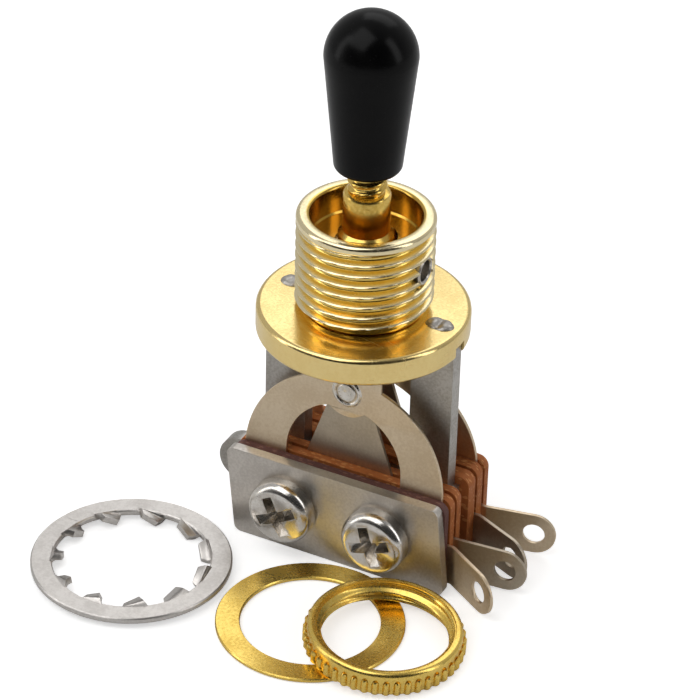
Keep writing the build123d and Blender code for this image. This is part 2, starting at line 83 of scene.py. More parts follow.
MM = 0.001
FULL_TURN = 2 * math.pi
ROUND_SIDES = 96
SMALL_SIDES = 48
SHARP_ANGLE = math.radians(32)
FLAT_ANGLE = math.radians(0.6)
CAD_WELD = 0.002
TREE_WELD = 0.0005
CUT_WELD = 0.01
LAST_WELD = 0.0001
THROUGH = 9.0
Piece = bpy.types.Object
Socket = bpy.types.NodeSocket
Colour = tuple[float, float, float]
Profile = list[tuple[float, float]]


class Side(Enum):
    """The two sides of the contact stack."""

    FRONT = "front"
    REAR = "rear"

    @property
    def body(self) -> "Body":
        """The body of this side's contact; its arched blade is given it too but isn't attached to it."""
        return Body(f"{self.value}_contact")


class Body(Enum):
    """The bodies that pieces ride on."""

    ROOT = "root"
    PIN = "cross_pin"
    LEVER = "lever"
    FRONT_CONTACT = "front_contact"
    REAR_CONTACT = "rear_contact"
    LOCK_WASHER = "loose_lock_washer"
    FLAT_WASHER = "loose_flat_washer"
    NUT = "loose_nut"


# ---------------------------------------------------------------- node trees


class NodeDesk:
    """Adds and joins the nodes of one shader or geometry tree."""

    def __init__(self, tree: bpy.types.NodeTree) -> None:
        """Keep the tree that the nodes go into."""
        self.tree = tree

    def add(self, kind: str, inputs: dict[Any, Any] | None = None, **settings: Any) -> bpy.types.Node:
        """Add a node.

        Args:
            kind: The node's type name.
            inputs: Values or sockets for its inputs, by input name or number.
            **settings: The node's own properties.

        Returns:
            The new node.
        """
        node = self.tree.nodes.new(kind)
        for name, value in settings.items():
            setattr(node, name, value)
        for name, value in (inputs or {}).items():
            self.feed(node.inputs[name], value)
        return node

    def feed(self, socket: Socket, value: Any) -> None:
        """Link an input to another socket, or set it to a value."""
        if isinstance(value, Socket):
            self.tree.links.new(value, socket)
        else:
            socket.default_value = value

    def math(self, operation: str, *values: Any) -> Socket:
        """Return the result of one Math node."""
        return self.add("ShaderNodeMath", dict(enumerate(values)), operation=operation).outputs[0]

    def total(self, *values: Any) -> Socket:
        """Return the sum of values."""
        return reduce(lambda first, other: self.math("ADD", first, other), values)

    def product(self, *values: Any) -> Socket:
        """Return values multiplied together."""
        return reduce(lambda first, other: self.math("MULTIPLY", first, other), values)

    def rest(self, value: Any) -> Socket:
        """Return one less a value."""
        return self.math("SUBTRACT", 1.0, value)

    def scaled(self, vector: Any, by: Any) -> Socket:
        """Return a vector multiplied axis by axis."""
        node = self.add("ShaderNodeVectorMath", {0: vector, 1: by}, operation="MULTIPLY")
        return node.outputs[0]

    def spread(
        self, value: Any, low: Any, high: Any, to_low: float = 0.0, to_high: float = 1.0, smooth: bool = True
    ) -> Socket:
        """Map a value's range onto another, clamped.

        Args:
            value: The socket to map.
            low: The value that becomes to_low.
            high: The value that becomes to_high.
            to_low: The start of the new range.
            to_high: The end of the new range.
            smooth: True for a smooth step, False for a straight line.

        Returns:
            The mapped value's socket.
        """
        kind = "SMOOTHSTEP" if smooth else "LINEAR"
        names = {"Value": value, "From Min": low, "From Max": high, "To Min": to_low, "To Max": to_high}
        return self.add("ShaderNodeMapRange", names, interpolation_type=kind).outputs[0]

    def mixed(self, factor: Any, first: Any, second: Any) -> Socket:
        """Return a colour between two, by a factor."""
        ends = {0: factor, 6: first, 7: second}
        inputs = {k: (*v, 1.0) if isinstance(v, tuple) else v for k, v in ends.items()}
        return self.add("ShaderNodeMix", inputs, data_type="RGBA").outputs[2]


def new_group(name: str, kind: str, inputs: dict[str, tuple[str, Any]], outputs: dict[str, str]) -> tuple:
    """Start a node group with named sockets.

    Args:
        name: The group's name.
        kind: ShaderNodeTree or GeometryNodeTree.
        inputs: Socket type ending and default value by name. A default of None isn't set.
        outputs: Socket type ending by name.

    Returns:
        The desk, the group input node and the group output node.
    """
    tree = bpy.data.node_groups.new(name, kind)
    for label, (ending, value) in inputs.items():
        socket = tree.interface.new_socket(name=label, in_out="INPUT", socket_type=f"NodeSocket{ending}")
        if value is not None:
            socket.default_value = value
    for label, ending in outputs.items():
        tree.interface.new_socket(name=label, in_out="OUTPUT", socket_type=f"NodeSocket{ending}")
    desk = NodeDesk(tree)
    return desk, desk.add("NodeGroupInput"), desk.add("NodeGroupOutput")


class ShaderGroups:
    """The shared surface effects, each built once as a node group."""

    noise_range = (0.3, 0.7)
    noise_middle = 0.5
    patch_scale = 500.0
    patch_range = (0.52, 0.62)
    fleck_share = 0.5

    def __init__(self) -> None:
        """Build every group."""
        self.grain = self.make_grain()
        self.scratches = self.make_scratches()
        self.speckle = self.make_speckle()
        self.rubbed_and_painted_light = self.make_wear()

    @staticmethod
    def start(name: str, output: str, **numbers: float) -> tuple:
        """Start a group that works on the piece's own coordinates.

        Args:
            name: The group's name.
            output: The name of its output.
            **numbers: The default of each number input by name.

        Returns:
            The desk, the input sockets by name, the output's socket and the stretched coordinates.
        """
        sockets = {label: ("Float", value) for label, value in numbers.items()}
        sockets["Stretch"] = ("Vector", (1.0, 1.0, 1.0))
        desk, given, result = new_group(name, "ShaderNodeTree", sockets, {output: "Float"})
        coordinates = desk.add("ShaderNodeTexCoord").outputs["Object"]
        return desk, given.outputs, result.inputs[output], desk.scaled(coordinates, given.outputs["Stretch"])

    def make_grain(self) -> bpy.types.NodeTree:
        """Make soft noise, stretched along chosen axes."""
        desk, given, result, place = self.start("grain", "Value", Scale=1000.0, Detail=3.0)
        inputs = {"Vector": place, "Scale": given["Scale"], "Detail": given["Detail"], "Roughness": 0.6}
        wave = desk.add("ShaderNodeTexNoise", inputs)
        desk.feed(result, desk.spread(wave.outputs[0], *self.noise_range, smooth=False))
        return desk.tree

    def make_scratches(self) -> bpy.types.NodeTree:
        """Make thin bent lines in patches, as handling leaves on metal."""
        desk, given, result, place = self.start("scratches", "Mask", Scale=400.0, Width=0.02)
        wave = desk.add("ShaderNodeTexNoise", {"Vector": place, "Scale": given["Scale"], "Detail": 1.0})
        away = desk.math("ABSOLUTE", desk.math("SUBTRACT", wave.outputs[0], self.noise_middle))
        far = desk.math("MINIMUM", desk.math("DIVIDE", away, given["Width"]), 1.0)
        plain = desk.add("ShaderNodeTexCoord").outputs["Object"]
        patch = desk.add("ShaderNodeTexNoise", {"Vector": plain, "Scale": self.patch_scale, "Detail": 1.0})
        shown = desk.spread(patch.outputs[0], *self.patch_range)
        desk.feed(result, desk.product(desk.rest(far), shown))
        return desk.tree

    def make_speckle(self) -> bpy.types.NodeTree:
        """Make small scattered flecks, as in pressed fibre."""
        desk, given, result, place = self.start("speckle", "Mask", Scale=3000.0, Share=0.35)
        cells = desk.add("ShaderNodeTexVoronoi", {"Vector": place, "Scale": given["Scale"]})
        tone = desk.add("ShaderNodeSeparateColor", {0: cells.outputs["Color"]}).outputs[0]
        near = desk.math("LESS_THAN", cells.outputs["Distance"], given["Share"])
        desk.feed(result, desk.product(near, desk.math("GREATER_THAN", tone, self.fleck_share)))
        return desk.tree

    def make_wear(self) -> bpy.types.NodeTree:
        """Mark what stands out from the Z axis, and less so under a level: rubbed gold with a painted
        highlight there, and, turned round, painted shade inside a bore.
        """
        numbers = {"Inner": 0.005, "Outer": 0.006, "Level": 0.0, "Below": 0.5}
        desk, given, result, place = self.start("rubbed_and_painted_light", "Mask", **numbers)
        flat = desk.scaled(place, (1.0, 1.0, 0.0))
        reach = desk.add("ShaderNodeVectorMath", {0: flat}, operation="LENGTH").outputs["Value"]
        height = desk.add("ShaderNodeSeparateXYZ", {0: place}).outputs["Z"]
        stands_out = desk.spread(reach, given["Inner"], given["Outer"])
        below = desk.math("LESS_THAN", height, given["Level"])
        lost = desk.product(below, desk.rest(given["Below"]))
        desk.feed(result, desk.product(stands_out, desk.rest(lost)))
        return desk.tree


# ---------------------------------------------------------------- finishes


@dataclass(frozen=True)
class Finish:
    """What every finish has: a name, its colour and how it becomes a material."""

    name: str
    colour: Colour

    def build(self, groups: ShaderGroups) -> bpy.types.Material:
        """Make the material.

        Args:
            groups: The shared shader groups.

        Returns:
            The new material.
        """
        raise NotImplementedError


@dataclass(frozen=True)
class Zone:
    """Another colour outside a radius about the Z axis, or inside it, fading over a short way."""

    colour: Colour
    inner: float
    outer: float
    level: float
    below: float = 0.0
    inside: bool = False

    def tint(self, desk: NodeDesk, groups: ShaderGroups, base: Socket) -> Socket:
        """Return a base colour with this zone's colour over it.

        Args:
            desk: The material's desk.
            groups: The shared shader groups.
            base: The colour that shows elsewhere.

        Returns:
            The tinted colour's socket.
        """
        radii = {"Inner": self.inner * MM, "Outer": self.outer * MM}
        mask = use_group(desk, groups.rubbed_and_painted_light, Level=self.level * MM, Below=self.below, **radii)
        ends = (self.colour, base) if self.inside else (base, self.colour)
        return desk.mixed(mask, *ends)


@dataclass(frozen=True)
class MetalFinish(Finish):
    """A plated or bare metal: its colours, gloss, grain, scratches and zones, which on the barrel carry
    painted highlight and painted shade.
    """

    stain: Colour
    roughness: float
    roughness_spread: float = 0.08
    patch_scale: float = 350.0
    patch_share: float = 0.6
    grain_scale: float = 4000.0
    grain_depth: float = 0.0006
    wave_scale: float = 500.0
    wave_depth: float = 0.001
    scratch_scale: float = 900.0
    scratch_stretch: Colour = (0.12, 0.5, 1.0)
    scratch_width: float = 0.012
    scratch_depth: float = 0.0012
    scratch_roughness: float = 0.1
    zones: tuple[Zone, ...] = ()

    def build(self, groups: ShaderGroups) -> bpy.types.Material:
        """Make the metal, its stains, zones and scratches."""
        material, desk, shader = new_material(self.name)
        patches = use_group(desk, groups.grain, Scale=self.patch_scale, Detail=4.0)
        grain = use_group(desk, groups.grain, Scale=self.grain_scale, Detail=2.0)
        wave = use_group(desk, groups.grain, Scale=self.wave_scale, Detail=1.0)
        lines = {"Scale": self.scratch_scale, "Stretch": self.scratch_stretch, "Width": self.scratch_width}
        scratch = use_group(desk, groups.scratches, **lines)
        blend = desk.total(desk.product(grain, 0.5), desk.product(patches, 0.5))
        amount = desk.spread(blend, 0.25, 0.75, 0.0, self.patch_share)
        colour = desk.mixed(amount, self.colour, self.stain)
        for zone in self.zones:
            colour = zone.tint(desk, groups, colour)
        desk.feed(shader.inputs["Base Color"], colour)
        shader.inputs["Metallic"].default_value = 1.0
        low = self.roughness - self.roughness_spread / 2
        rough = desk.spread(blend, 0.2, 0.8, low, low + self.roughness_spread)
        rough = desk.total(rough, desk.product(scratch, self.scratch_roughness))
        desk.feed(shader.inputs["Roughness"], rough)
        height = desk.total(desk.product(grain, self.grain_depth), desk.product(wave, self.wave_depth))
        height = desk.math("SUBTRACT", height, desk.product(scratch, self.scratch_depth))
        add_bump(desk, shader, height)
        return material


@dataclass(frozen=True)
class PlasticFinish(Finish):
    """A moulded plastic: its colour, gloss and fine orange-peel."""

    bloom: Colour
    roughness: float
    gloss: float = 0.4
    roughness_spread: float = 0.07
    patch_scale: float = 400.0
    peel_scale: float = 1500.0
    peel_depth: float = 0.0015
    dust_scale: float = 2600.0
    dust_share: float = 0.12
    dust_strength: float = 0.25

    def build(self, groups: ShaderGroups) -> bpy.types.Material:
        """Make the plastic, its bloom and its dust."""
        material, desk, shader = new_material(self.name)
        patches = use_group(desk, groups.grain, Scale=self.patch_scale, Detail=4.0)
        peel = use_group(desk, groups.grain, Scale=self.peel_scale, Detail=2.0)
        dust = use_group(desk, groups.speckle, Scale=self.dust_scale, Share=self.dust_share)
        tone = desk.mixed(desk.spread(patches, 0.2, 0.9), self.colour, self.bloom)
        pale = tuple(4 * c + 0.02 for c in self.bloom)
        tone = desk.mixed(desk.product(dust, self.dust_strength), tone, pale)
        desk.feed(shader.inputs["Base Color"], tone)
        rough = desk.spread(patches, 0.0, 1.0, self.roughness, self.roughness + self.roughness_spread)
        desk.feed(shader.inputs["Roughness"], rough)
        shader.inputs["Specular IOR Level"].default_value = self.gloss
        add_bump(desk, shader, desk.product(peel, self.peel_depth))
        return material


@dataclass(frozen=True)
class FibreFinish(Finish):
    """Pressed red-brown fibre: speckled faces and fibrous, layered edges."""

    pale: Colour
    dark: Colour
    roughness: float = 0.6
    roughness_spread: float = 0.2
    layer_scale: float = 900.0
    cloud_scale: float = 700.0
    cloud_share: float = 0.35
    fleck_scale: float = 2600.0
    fuzz_scale: float = 5200.0
    layer_stretch: Colour = (0.35, 8.0, 0.5)
    fleck_stretch: Colour = (0.6, 2.0, 1.0)
    fleck_share: float = 0.42
    fleck_strength: float = 0.45
    fuzz_stretch: Colour = (0.5, 1.0, 1.0)
    relief: float = 0.012

    def build(self, groups: ShaderGroups) -> bpy.types.Material:
        """Make the fibre, its layers and its flecks."""
        material, desk, shader = new_material(self.name)
        layers = use_group(desk, groups.grain, Scale=self.layer_scale, Stretch=self.layer_stretch, Detail=5.0)
        cloud = use_group(desk, groups.grain, Scale=self.cloud_scale, Detail=4.0)
        flecks = {"Scale": self.fleck_scale, "Stretch": self.fleck_stretch, "Share": self.fleck_share}
        fleck = use_group(desk, groups.speckle, **flecks)
        fuzz = use_group(desk, groups.grain, Scale=self.fuzz_scale, Stretch=self.fuzz_stretch, Detail=3.0)
        tone = desk.mixed(desk.spread(layers, 0.2, 0.75), self.dark, self.colour)
        tone = desk.mixed(desk.product(desk.spread(cloud, 0.3, 0.9), self.cloud_share), self.colour, tone)
        tone = desk.mixed(desk.product(fleck, self.fleck_strength), tone, self.pale)
        desk.feed(shader.inputs["Base Color"], tone)
        rough = desk.spread(cloud, 0.0, 1.0, self.roughness, self.roughness + self.roughness_spread)
        desk.feed(shader.inputs["Roughness"], rough)
        height = desk.total(desk.product(layers, self.relief), desk.product(fuzz, self.relief))
        add_bump(desk, shader, height)
        return material


def new_material(name: str) -> tuple[bpy.types.Material, NodeDesk, bpy.types.Node]:
    """Return a new material, its desk and its Principled shader."""
    material = bpy.data.materials.new(name)
    material.use_nodes = True
    return material, NodeDesk(material.node_tree), material.node_tree.nodes["Principled BSDF"]


def use_group(desk: NodeDesk, group: bpy.types.NodeTree, **inputs: Any) -> Socket:
    """Place a shared group in a material.

    Args:
        desk: The material's desk.
        group: The shader group.
        **inputs: The group's input values by name.

    Returns:
        The group's output socket.
    """
    return desk.add("ShaderNodeGroup", inputs, node_tree=group).outputs[0]


def add_bump(desk: NodeDesk, shader: bpy.types.Node, height: Socket) -> None:
    """Drive the shader's normal from a height in millimetres."""
    bump = desk.add("ShaderNodeBump", {"Height": height, "Distance": MM, "Strength": 1.0})
    desk.feed(shader.inputs["Normal"], bump.outputs["Normal"])


# Pale champagne gold where the barrel stands out: on the thread crests, less so on the flange, and on the
# rim's top. It is rubbed gold and also a painted highlight where these faces catch the light.
CHAMPAGNE = (0.93, 0.80, 0.50)
BARREL_ZONES = (
    # Darker amber inside the bore radius: painted shade in the recess.
    Zone((0.58, 0.34, 0.06), 4.75, 5.15, level=-1000.0, inside=True),
    Zone(CHAMPAGNE, 5.5, 5.85, level=0.08, below=0.4),
    Zone(CHAMPAGNE, 5.0, 5.2, level=8.7),
)
BLADE = MetalFinish(
    "nickel_silver", (0.76, 0.63, 0.46), (0.66, 0.52, 0.35), 0.38, 0.1,
    wave_depth=0.0006, scratch_depth=0.0002,
)
FINISHES: dict[str, Finish] = {
    "gold": MetalFinish("gold_plate", (0.86, 0.60, 0.16), (0.74, 0.45, 0.08), 0.22, 0.1, wave_depth=0.0012),
    # The barrel's gold: deeper grain and scratches, with zones of rubbed gold and painted highlight, and
    # painted shade in the bore.
    "gold_worn": MetalFinish(
        "gold_plate_worn_painted_light", (0.91, 0.66, 0.19), (0.84, 0.54, 0.10), 0.2, 0.1,
        wave_depth=0.0012, grain_depth=0.0014, scratch_depth=0.0005, zones=BARREL_ZONES,
    ),
    "tip_black": PlasticFinish("black_plastic", (0.002, 0.002, 0.0022), (0.003, 0.003, 0.003), 0.2, 0.12),
    "pin_steel": MetalFinish("pin_steel", (0.60, 0.58, 0.55), (0.42, 0.36, 0.28), 0.3),
    "cam_nylon": PlasticFinish("nylon", (0.62, 0.58, 0.48), (0.70, 0.66, 0.56), 0.42),
    "frame_steel": MetalFinish(
        "frame_steel", (0.50, 0.48, 0.45), (0.36, 0.33, 0.29), 0.4, 0.16, 500.0, grain_depth=0.003
    ),
    "clamp_nickel": MetalFinish(
        "clamp_nickel", (0.66, 0.62, 0.57), (0.50, 0.46, 0.42), 0.38, 0.12,
        patch_share=0.5, grain_scale=4200.0, grain_depth=0.008,
    ),
    "screw_nickel": MetalFinish(
        "screw_nickel", (0.78, 0.75, 0.71), (0.62, 0.57, 0.50), 0.22, 0.1, wave_depth=0.002
    ),
    "fibre": FibreFinish("red_fibre", (0.46, 0.135, 0.027), (0.85, 0.42, 0.15), (0.09, 0.018, 0.007)),
    "fibre_front": FibreFinish("dark_fibre", (0.13, 0.05, 0.04), (0.34, 0.17, 0.12), (0.035, 0.014, 0.013)),
    "blade_silver": BLADE,
    # A darker copy of the blade finish for the inner blades: painted shade, as they sit in the shade behind
    # the arched blades.
    "blade_dull": replace(
        BLADE, name="nickel_silver_painted_shade", colour=(0.54, 0.47, 0.37), stain=(0.44, 0.37, 0.28)
    ),
    "contact_silver": MetalFinish("contact_silver", (0.76, 0.72, 0.66), (0.62, 0.56, 0.47), 0.25, 0.12),
    "sleeve_fibre": PlasticFinish("sleeve_tube", (0.55, 0.47, 0.33), (0.62, 0.55, 0.42), 0.5),
    "washer_steel": MetalFinish("spring_steel", (0.66, 0.63, 0.60), (0.54, 0.51, 0.48), 0.34, 0.06),
    "washer_gold": MetalFinish(
        "washer_gold", (0.90, 0.65, 0.17), (0.82, 0.54, 0.10), 0.27, 0.1, grain_depth=0.0004
    ),
    # Paler, glossier metal on the rounded edges: rubbed edges and a painted highlight where the edges catch
    # the light.
    "worn_edge": MetalFinish("bright_edge", (0.86, 0.82, 0.76), (0.74, 0.68, 0.60), 0.25, 0.1),
}


class Paints:
    """The materials made from the finishes, each made once."""

    def __init__(self) -> None:
        """Build the shader groups and start with no material."""
        self.groups = ShaderGroups()
        self.made: dict[str, bpy.types.Material] = {}

    def get(self, name: str) -> bpy.types.Material:
        """Return a finish's material."""
        if name not in self.made:
            self.made[name] = FINISHES[name].build(self.groups)
        return self.made[name]


# ---------------------------------------------------------------- meshes


def show(name: str, mesh: bpy.types.Mesh) -> Piece:
    """Return a new object in the scene that holds a mesh."""
    obj = bpy.data.objects.new(name, mesh)
    bpy.context.scene.collection.objects.link(obj)
    return obj


def from_bmesh(name: str, shape: bmesh.types.BMesh) -> Piece:
    """Return a new object made from a bmesh, which is freed."""
    mesh = bpy.data.meshes.new(name)
    shape.to_mesh(mesh)
    shape.free()
    return show(name, mesh)


def solid(name: str, shape: bmesh.types.BMesh) -> Piece:
    """Return a new object made from a closed bmesh, its faces turned outwards."""
    bmesh.ops.recalc_face_normals(shape, faces=shape.faces)
    return from_bmesh(name, shape)


def skin(
    shape: bmesh.types.BMesh, rows: Sequence[Sequence[bmesh.types.BMVert]], closed: bool = True
) -> None:
    """Join each row of points to the next with faces.

    Args:
        shape: The bmesh that holds the points.
        rows: Rows of equally many points.
        closed: True if a row's last point joins up with its first.
    """
    for near, far in zip(rows, rows[1:]):
        for k in range(len(near) if closed else len(near) - 1):
            n = (k + 1) % len(near)
            corners = list(dict.fromkeys([near[k], near[n], far[n], far[k]]))
            if len(corners) > 2:
                shape.faces.new(corners)


@contextmanager
def editing(obj: Piece) -> Iterator[bmesh.types.BMesh]:
    """Open an object's mesh as a bmesh, and write it back at the end."""
    shape = bmesh.new()
    shape.from_mesh(obj.data)
    yield shape
    shape.to_mesh(obj.data)
    shape.free()


def settle(obj: Piece) -> Piece:
    """Turn an object's modifiers into plain mesh."""
    depsgraph = bpy.context.evaluated_depsgraph_get()
    done = bpy.data.meshes.new_from_object(obj.evaluated_get(depsgraph), depsgraph=depsgraph)
    obj.modifiers.clear()
    obj.data = done
    return obj


def close_up(obj: Piece, distance: float = TREE_WELD) -> Piece:
    """Merge an object's points that nearly touch and turn its faces outwards."""
    with editing(obj) as shape:
        bmesh.ops.remove_doubles(shape, verts=shape.verts, dist=distance)
        bmesh.ops.dissolve_degenerate(shape, edges=shape.edges, dist=distance / 10)
        bmesh.ops.recalc_face_normals(shape, faces=shape.faces)
    return obj


def arc(
    centre: tuple[float, float], radius: float, start: float, end: float, steps: int = 6
) -> Profile:
    """Return the points of an arc.

    Args:
        centre: The arc's centre as (radius, height).
        radius: The arc's own radius.
        start: The first angle in degrees, 0 outwards and 90 upwards.
        end: The last angle in degrees.
        steps: The number of segments.

    Returns:
        Points as (radius, height).
    """
    angles = [math.radians(start + (end - start) * k / steps) for k in range(steps + 1)]
    return [(centre[0] + radius * math.cos(a), centre[1] + radius * math.sin(a)) for a in angles]


def lathe(name: str, profile: Profile, sides: int = ROUND_SIDES) -> Piece:
    """Make a closed solid of revolution about Z.

    Args:
        name: The object's name.
        profile: Points as (radius, height), in order round the section.
        sides: The number of sides.

    Returns:
        The new object.
    """
    shape = bmesh.new()
    rings = []
    for radius, height in profile:
        if radius < 1e-6:
            rings.append([shape.verts.new((0, 0, height))] * sides)
        else:
            angles = [FULL_TURN * k / sides for k in range(sides)]
            corners = [(radius * math.cos(a), radius * math.sin(a), height) for a in angles]
            rings.append([shape.verts.new(corner) for corner in corners])
    skin(shape, rings + rings[:1])
    return solid(name, shape)


def ring_outline(inner: float, outer: float, half: float, edge: float) -> Profile:
    """Return the section of a flat ring with bevelled edges, about its middle height."""
    flat = half - edge
    return [
        (outer - edge, -half), (outer, -flat), (outer, flat), (outer - edge, half),
        (inner + edge, half), (inner, flat), (inner, -flat), (inner + edge, -half),
    ]


def slab(name: str, low: Sequence[float], high: Sequence[float]) -> Piece:
    """Return a box between two corners, for cutting."""
    shape = bmesh.new()
    bmesh.ops.create_cube(shape, size=1.0)
    low, high = Vector(low), Vector(high)
    shape.transform(Matrix.Translation((low + high) / 2) @ Matrix.Diagonal((*(high - low), 1)))
    return from_bmesh(name, shape)


def rod(name: str, radius: float, start: Sequence[float], end: Sequence[float]) -> Piece:
    """Return a cylinder between two points, for cutting."""
    along = Vector(end) - Vector(start)
    bar = lathe(name, [(0, 0), (radius, 0), (radius, along.length), (0, along.length)], SMALL_SIDES)
    return moved(bar, Matrix.Translation(Vector(start)) @ along.to_track_quat("Z", "Y").to_matrix().to_4x4())


def moved(obj: Piece, matrix: Matrix) -> Piece:
    """Return an object after its mesh has been moved by a matrix."""
    obj.data.transform(matrix)
    return obj


def combine(
    obj: Piece, other: Piece, operation: str = "DIFFERENCE"
) -> Piece:
    """Cut, join or keep one closed mesh by another, which is used up.

    Args:
        obj: The object that is kept.
        other: The object that is used up.
        operation: The Boolean modifier's operation.

    Returns:
        The kept object.
    """
    modifier = obj.modifiers.new("combine", "BOOLEAN")
    modifier.operation = operation
    modifier.solver = "EXACT"
    modifier.object = other
    settle(obj)
    bpy.data.objects.remove(other)
    return obj


def join(obj: Piece, others: Sequence[Piece]) -> Piece:
    """Add other objects' meshes to one, as they are, and use them up."""
    with editing(obj) as shape:
        for part in others:
            shape.from_mesh(part.data)
    for part in others:
        bpy.data.objects.remove(part)
    return obj


def copy_of(node: str) -> Piece:
    """Return a merged copy of a CAD node in millimetres, its flat faces joined up."""
    shape = bmesh.new()
    shape.from_mesh(frame["nodes"][node].data)
    shape.transform(Matrix.Scale(1 / MM, 4))
    bmesh.ops.remove_doubles(shape, verts=shape.verts, dist=CAD_WELD)
    bmesh.ops.dissolve_limit(shape, angle_limit=FLAT_ANGLE, verts=shape.verts, edges=shape.edges)
    return from_bmesh(node, shape)


def soften(
    obj: Piece, width: float, segments: int = 2, angle: float = 38.0, material: int = 0
) -> Piece:
    """Round an object's sharp edges.

    Args:
        obj: The object.
        width: The rounding's width in millimetres.
        segments: The number of segments across the rounding.
        angle: Edges sharper than this, in degrees, are rounded.
        material: The material slot of the rounding.

    Returns:
        The object.
    """
    bevel = obj.modifiers.new("soften", "BEVEL")
    bevel.width = width
    bevel.segments = segments
    bevel.limit_method = "ANGLE"
    bevel.angle_limit = math.radians(angle)
    bevel.material = material
    return settle(obj)


def sliced(obj: Piece, levels: Sequence[float]) -> Piece:
    """Divide a mesh at Z levels."""
    with editing(obj) as shape:
        for level in levels:
            plane = {"plane_co": (0, 0, level), "plane_no": (0, 0, 1)}
            everything = shape.verts[:] + shape.edges[:] + shape.faces[:]
            bmesh.ops.bisect_plane(shape, geom=everything, dist=1e-5, **plane)
    return obj


def place_of(node: str) -> tuple[Vector, Vector]:
    """Return a CAD node's lowest and highest corners in millimetres."""
    low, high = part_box(node)
    return low / MM, high / MM


def middle_of(node: str) -> Vector:
    """Return the middle of a CAD node's box in millimetres."""
    low, high = place_of(node)
    return (low + high) / 2


# ---------------------------------------------------------------- geometry trees


class GeometryTrees:
    """The Geometry Nodes trees that make threads and rings of repeated shapes."""

    def __init__(self) -> None:
        """Build both trees."""
        self.thread = self.make_thread()
        self.ring = self.make_ring()

    @staticmethod
    def make_thread() -> bpy.types.NodeTree:
        """Make a right-handed screw thread as a closed tube: one threaded wall and one plain one."""
        lengths = {
            "Root": 1.0, "Crest": 1.2, "Back": 0.8, "Pitch": 0.5, "Start": 0.0, "Length": 5.0,
            "Run Out": 0.5, "Crest Shape": 1.5,
        }
        sockets = {name: ("Float", value) for name, value in lengths.items()}
        sockets |= {"Around": ("Int", 96), "Rows": ("Int", 80), "Finish": ("Material", None)}
        desk, given, result = new_group("screw_thread", "GeometryNodeTree", sockets, {"Mesh": "Geometry"})
        value = given.outputs
        rows = value["Rows"]
        counts = {"Vertices X": desk.total(value["Around"], 1), "Vertices Y": desk.total(rows, 4)}
        grid = desk.add("GeometryNodeMeshGrid", {"Size X": 1.0, "Size Y": 1.0, **counts})
        position = desk.add("ShaderNodeSeparateXYZ", {0: desk.add("GeometryNodeInputPosition").outputs[0]})
        turn = desk.total(position.outputs["X"], 0.5)
        row = desk.product(desk.total(position.outputs["Y"], 0.5), desk.total(rows, 3))
        below = desk.math("LESS_THAN", row, desk.total(rows, 1.5))
        share = desk.product(desk.math("MINIMUM", desk.math("DIVIDE", row, rows), 1.0), below)
        rise = desk.product(share, value["Length"])
        phase = desk.math("SUBTRACT", desk.math("DIVIDE", rise, value["Pitch"]), turn)
        swing = desk.math("COSINE", desk.product(phase, FULL_TURN))
        bump = desk.math("POWER", desk.product(desk.total(swing, 1.0), 0.5), value["Crest Shape"])
        end = desk.math("MINIMUM", rise, desk.math("SUBTRACT", value["Length"], rise))
        fade = desk.spread(desk.math("DIVIDE", end, value["Run Out"]), 0.0, 1.0)
        depth = desk.math("SUBTRACT", value["Crest"], value["Root"])
        wall = desk.total(value["Root"], desk.product(depth, desk.product(bump, fade)))
        past = desk.math("GREATER_THAN", row, desk.total(rows, 0.5))
        before = desk.math("LESS_THAN", row, desk.total(rows, 2.5))
        back = desk.product(desk.math("SUBTRACT", value["Back"], wall), desk.product(past, before))
        radius = desk.total(wall, back)
        angle = desk.product(turn, FULL_TURN)
        place = {
            "X": desk.product(radius, desk.math("COSINE", angle)),
            "Y": desk.product(radius, desk.math("SINE", angle)),
            "Z": desk.total(rise, value["Start"]),
        }
        point = desk.add("ShaderNodeCombineXYZ", place).outputs[0]
        moves = {"Geometry": grid.outputs["Mesh"], "Position": point}
        placed = desk.add("GeometryNodeSetPosition", moves)
        near = {"Geometry": placed.outputs[0], "Distance": TREE_WELD}
        merged = desk.add("GeometryNodeMergeByDistance", near)
        finish_tree(desk, result, merged.outputs[0], value["Finish"])
        return desk.tree

    @staticmethod
    def make_ring() -> bpy.types.NodeTree:
        """Set copies of a shape evenly round Z."""
        sockets = {"Shape": ("Geometry", None), "Count": ("Int", 12), "Turn": ("Float", 0.0)}
        sockets["Finish"] = ("Material", None)
        desk, given, result = new_group("spaced_ring", "GeometryNodeTree", sockets, {"Mesh": "Geometry"})
        value = given.outputs
        points = desk.add("GeometryNodePoints", {"Count": value["Count"]})
        index = desk.add("GeometryNodeInputIndex").outputs[0]
        angle = desk.math("DIVIDE", desk.product(index, FULL_TURN), value["Count"])
        turned = desk.add("ShaderNodeCombineXYZ", {"Z": desk.total(angle, value["Turn"])})
        inputs = {"Points": points.outputs[0], "Instance": value["Shape"], "Rotation": turned.outputs[0]}
        copies = desk.add("GeometryNodeInstanceOnPoints", inputs)
        finish_tree(desk, result, copies.outputs[0], value["Finish"])
        return desk.tree


def finish_tree(
    desk: NodeDesk, result: bpy.types.Node, geometry: Socket, finish: Socket
) -> None:
    """End a geometry tree: real mesh, smooth, with its material."""
    real = desk.add("GeometryNodeRealizeInstances", {0: geometry})
    smooth = desk.add("GeometryNodeSetShadeSmooth", {"Geometry": real.outputs[0]})
    dressed = desk.add("GeometryNodeSetMaterial", {"Geometry": smooth.outputs[0], "Material": finish})
    desk.feed(result.inputs["Mesh"], dressed.outputs[0])


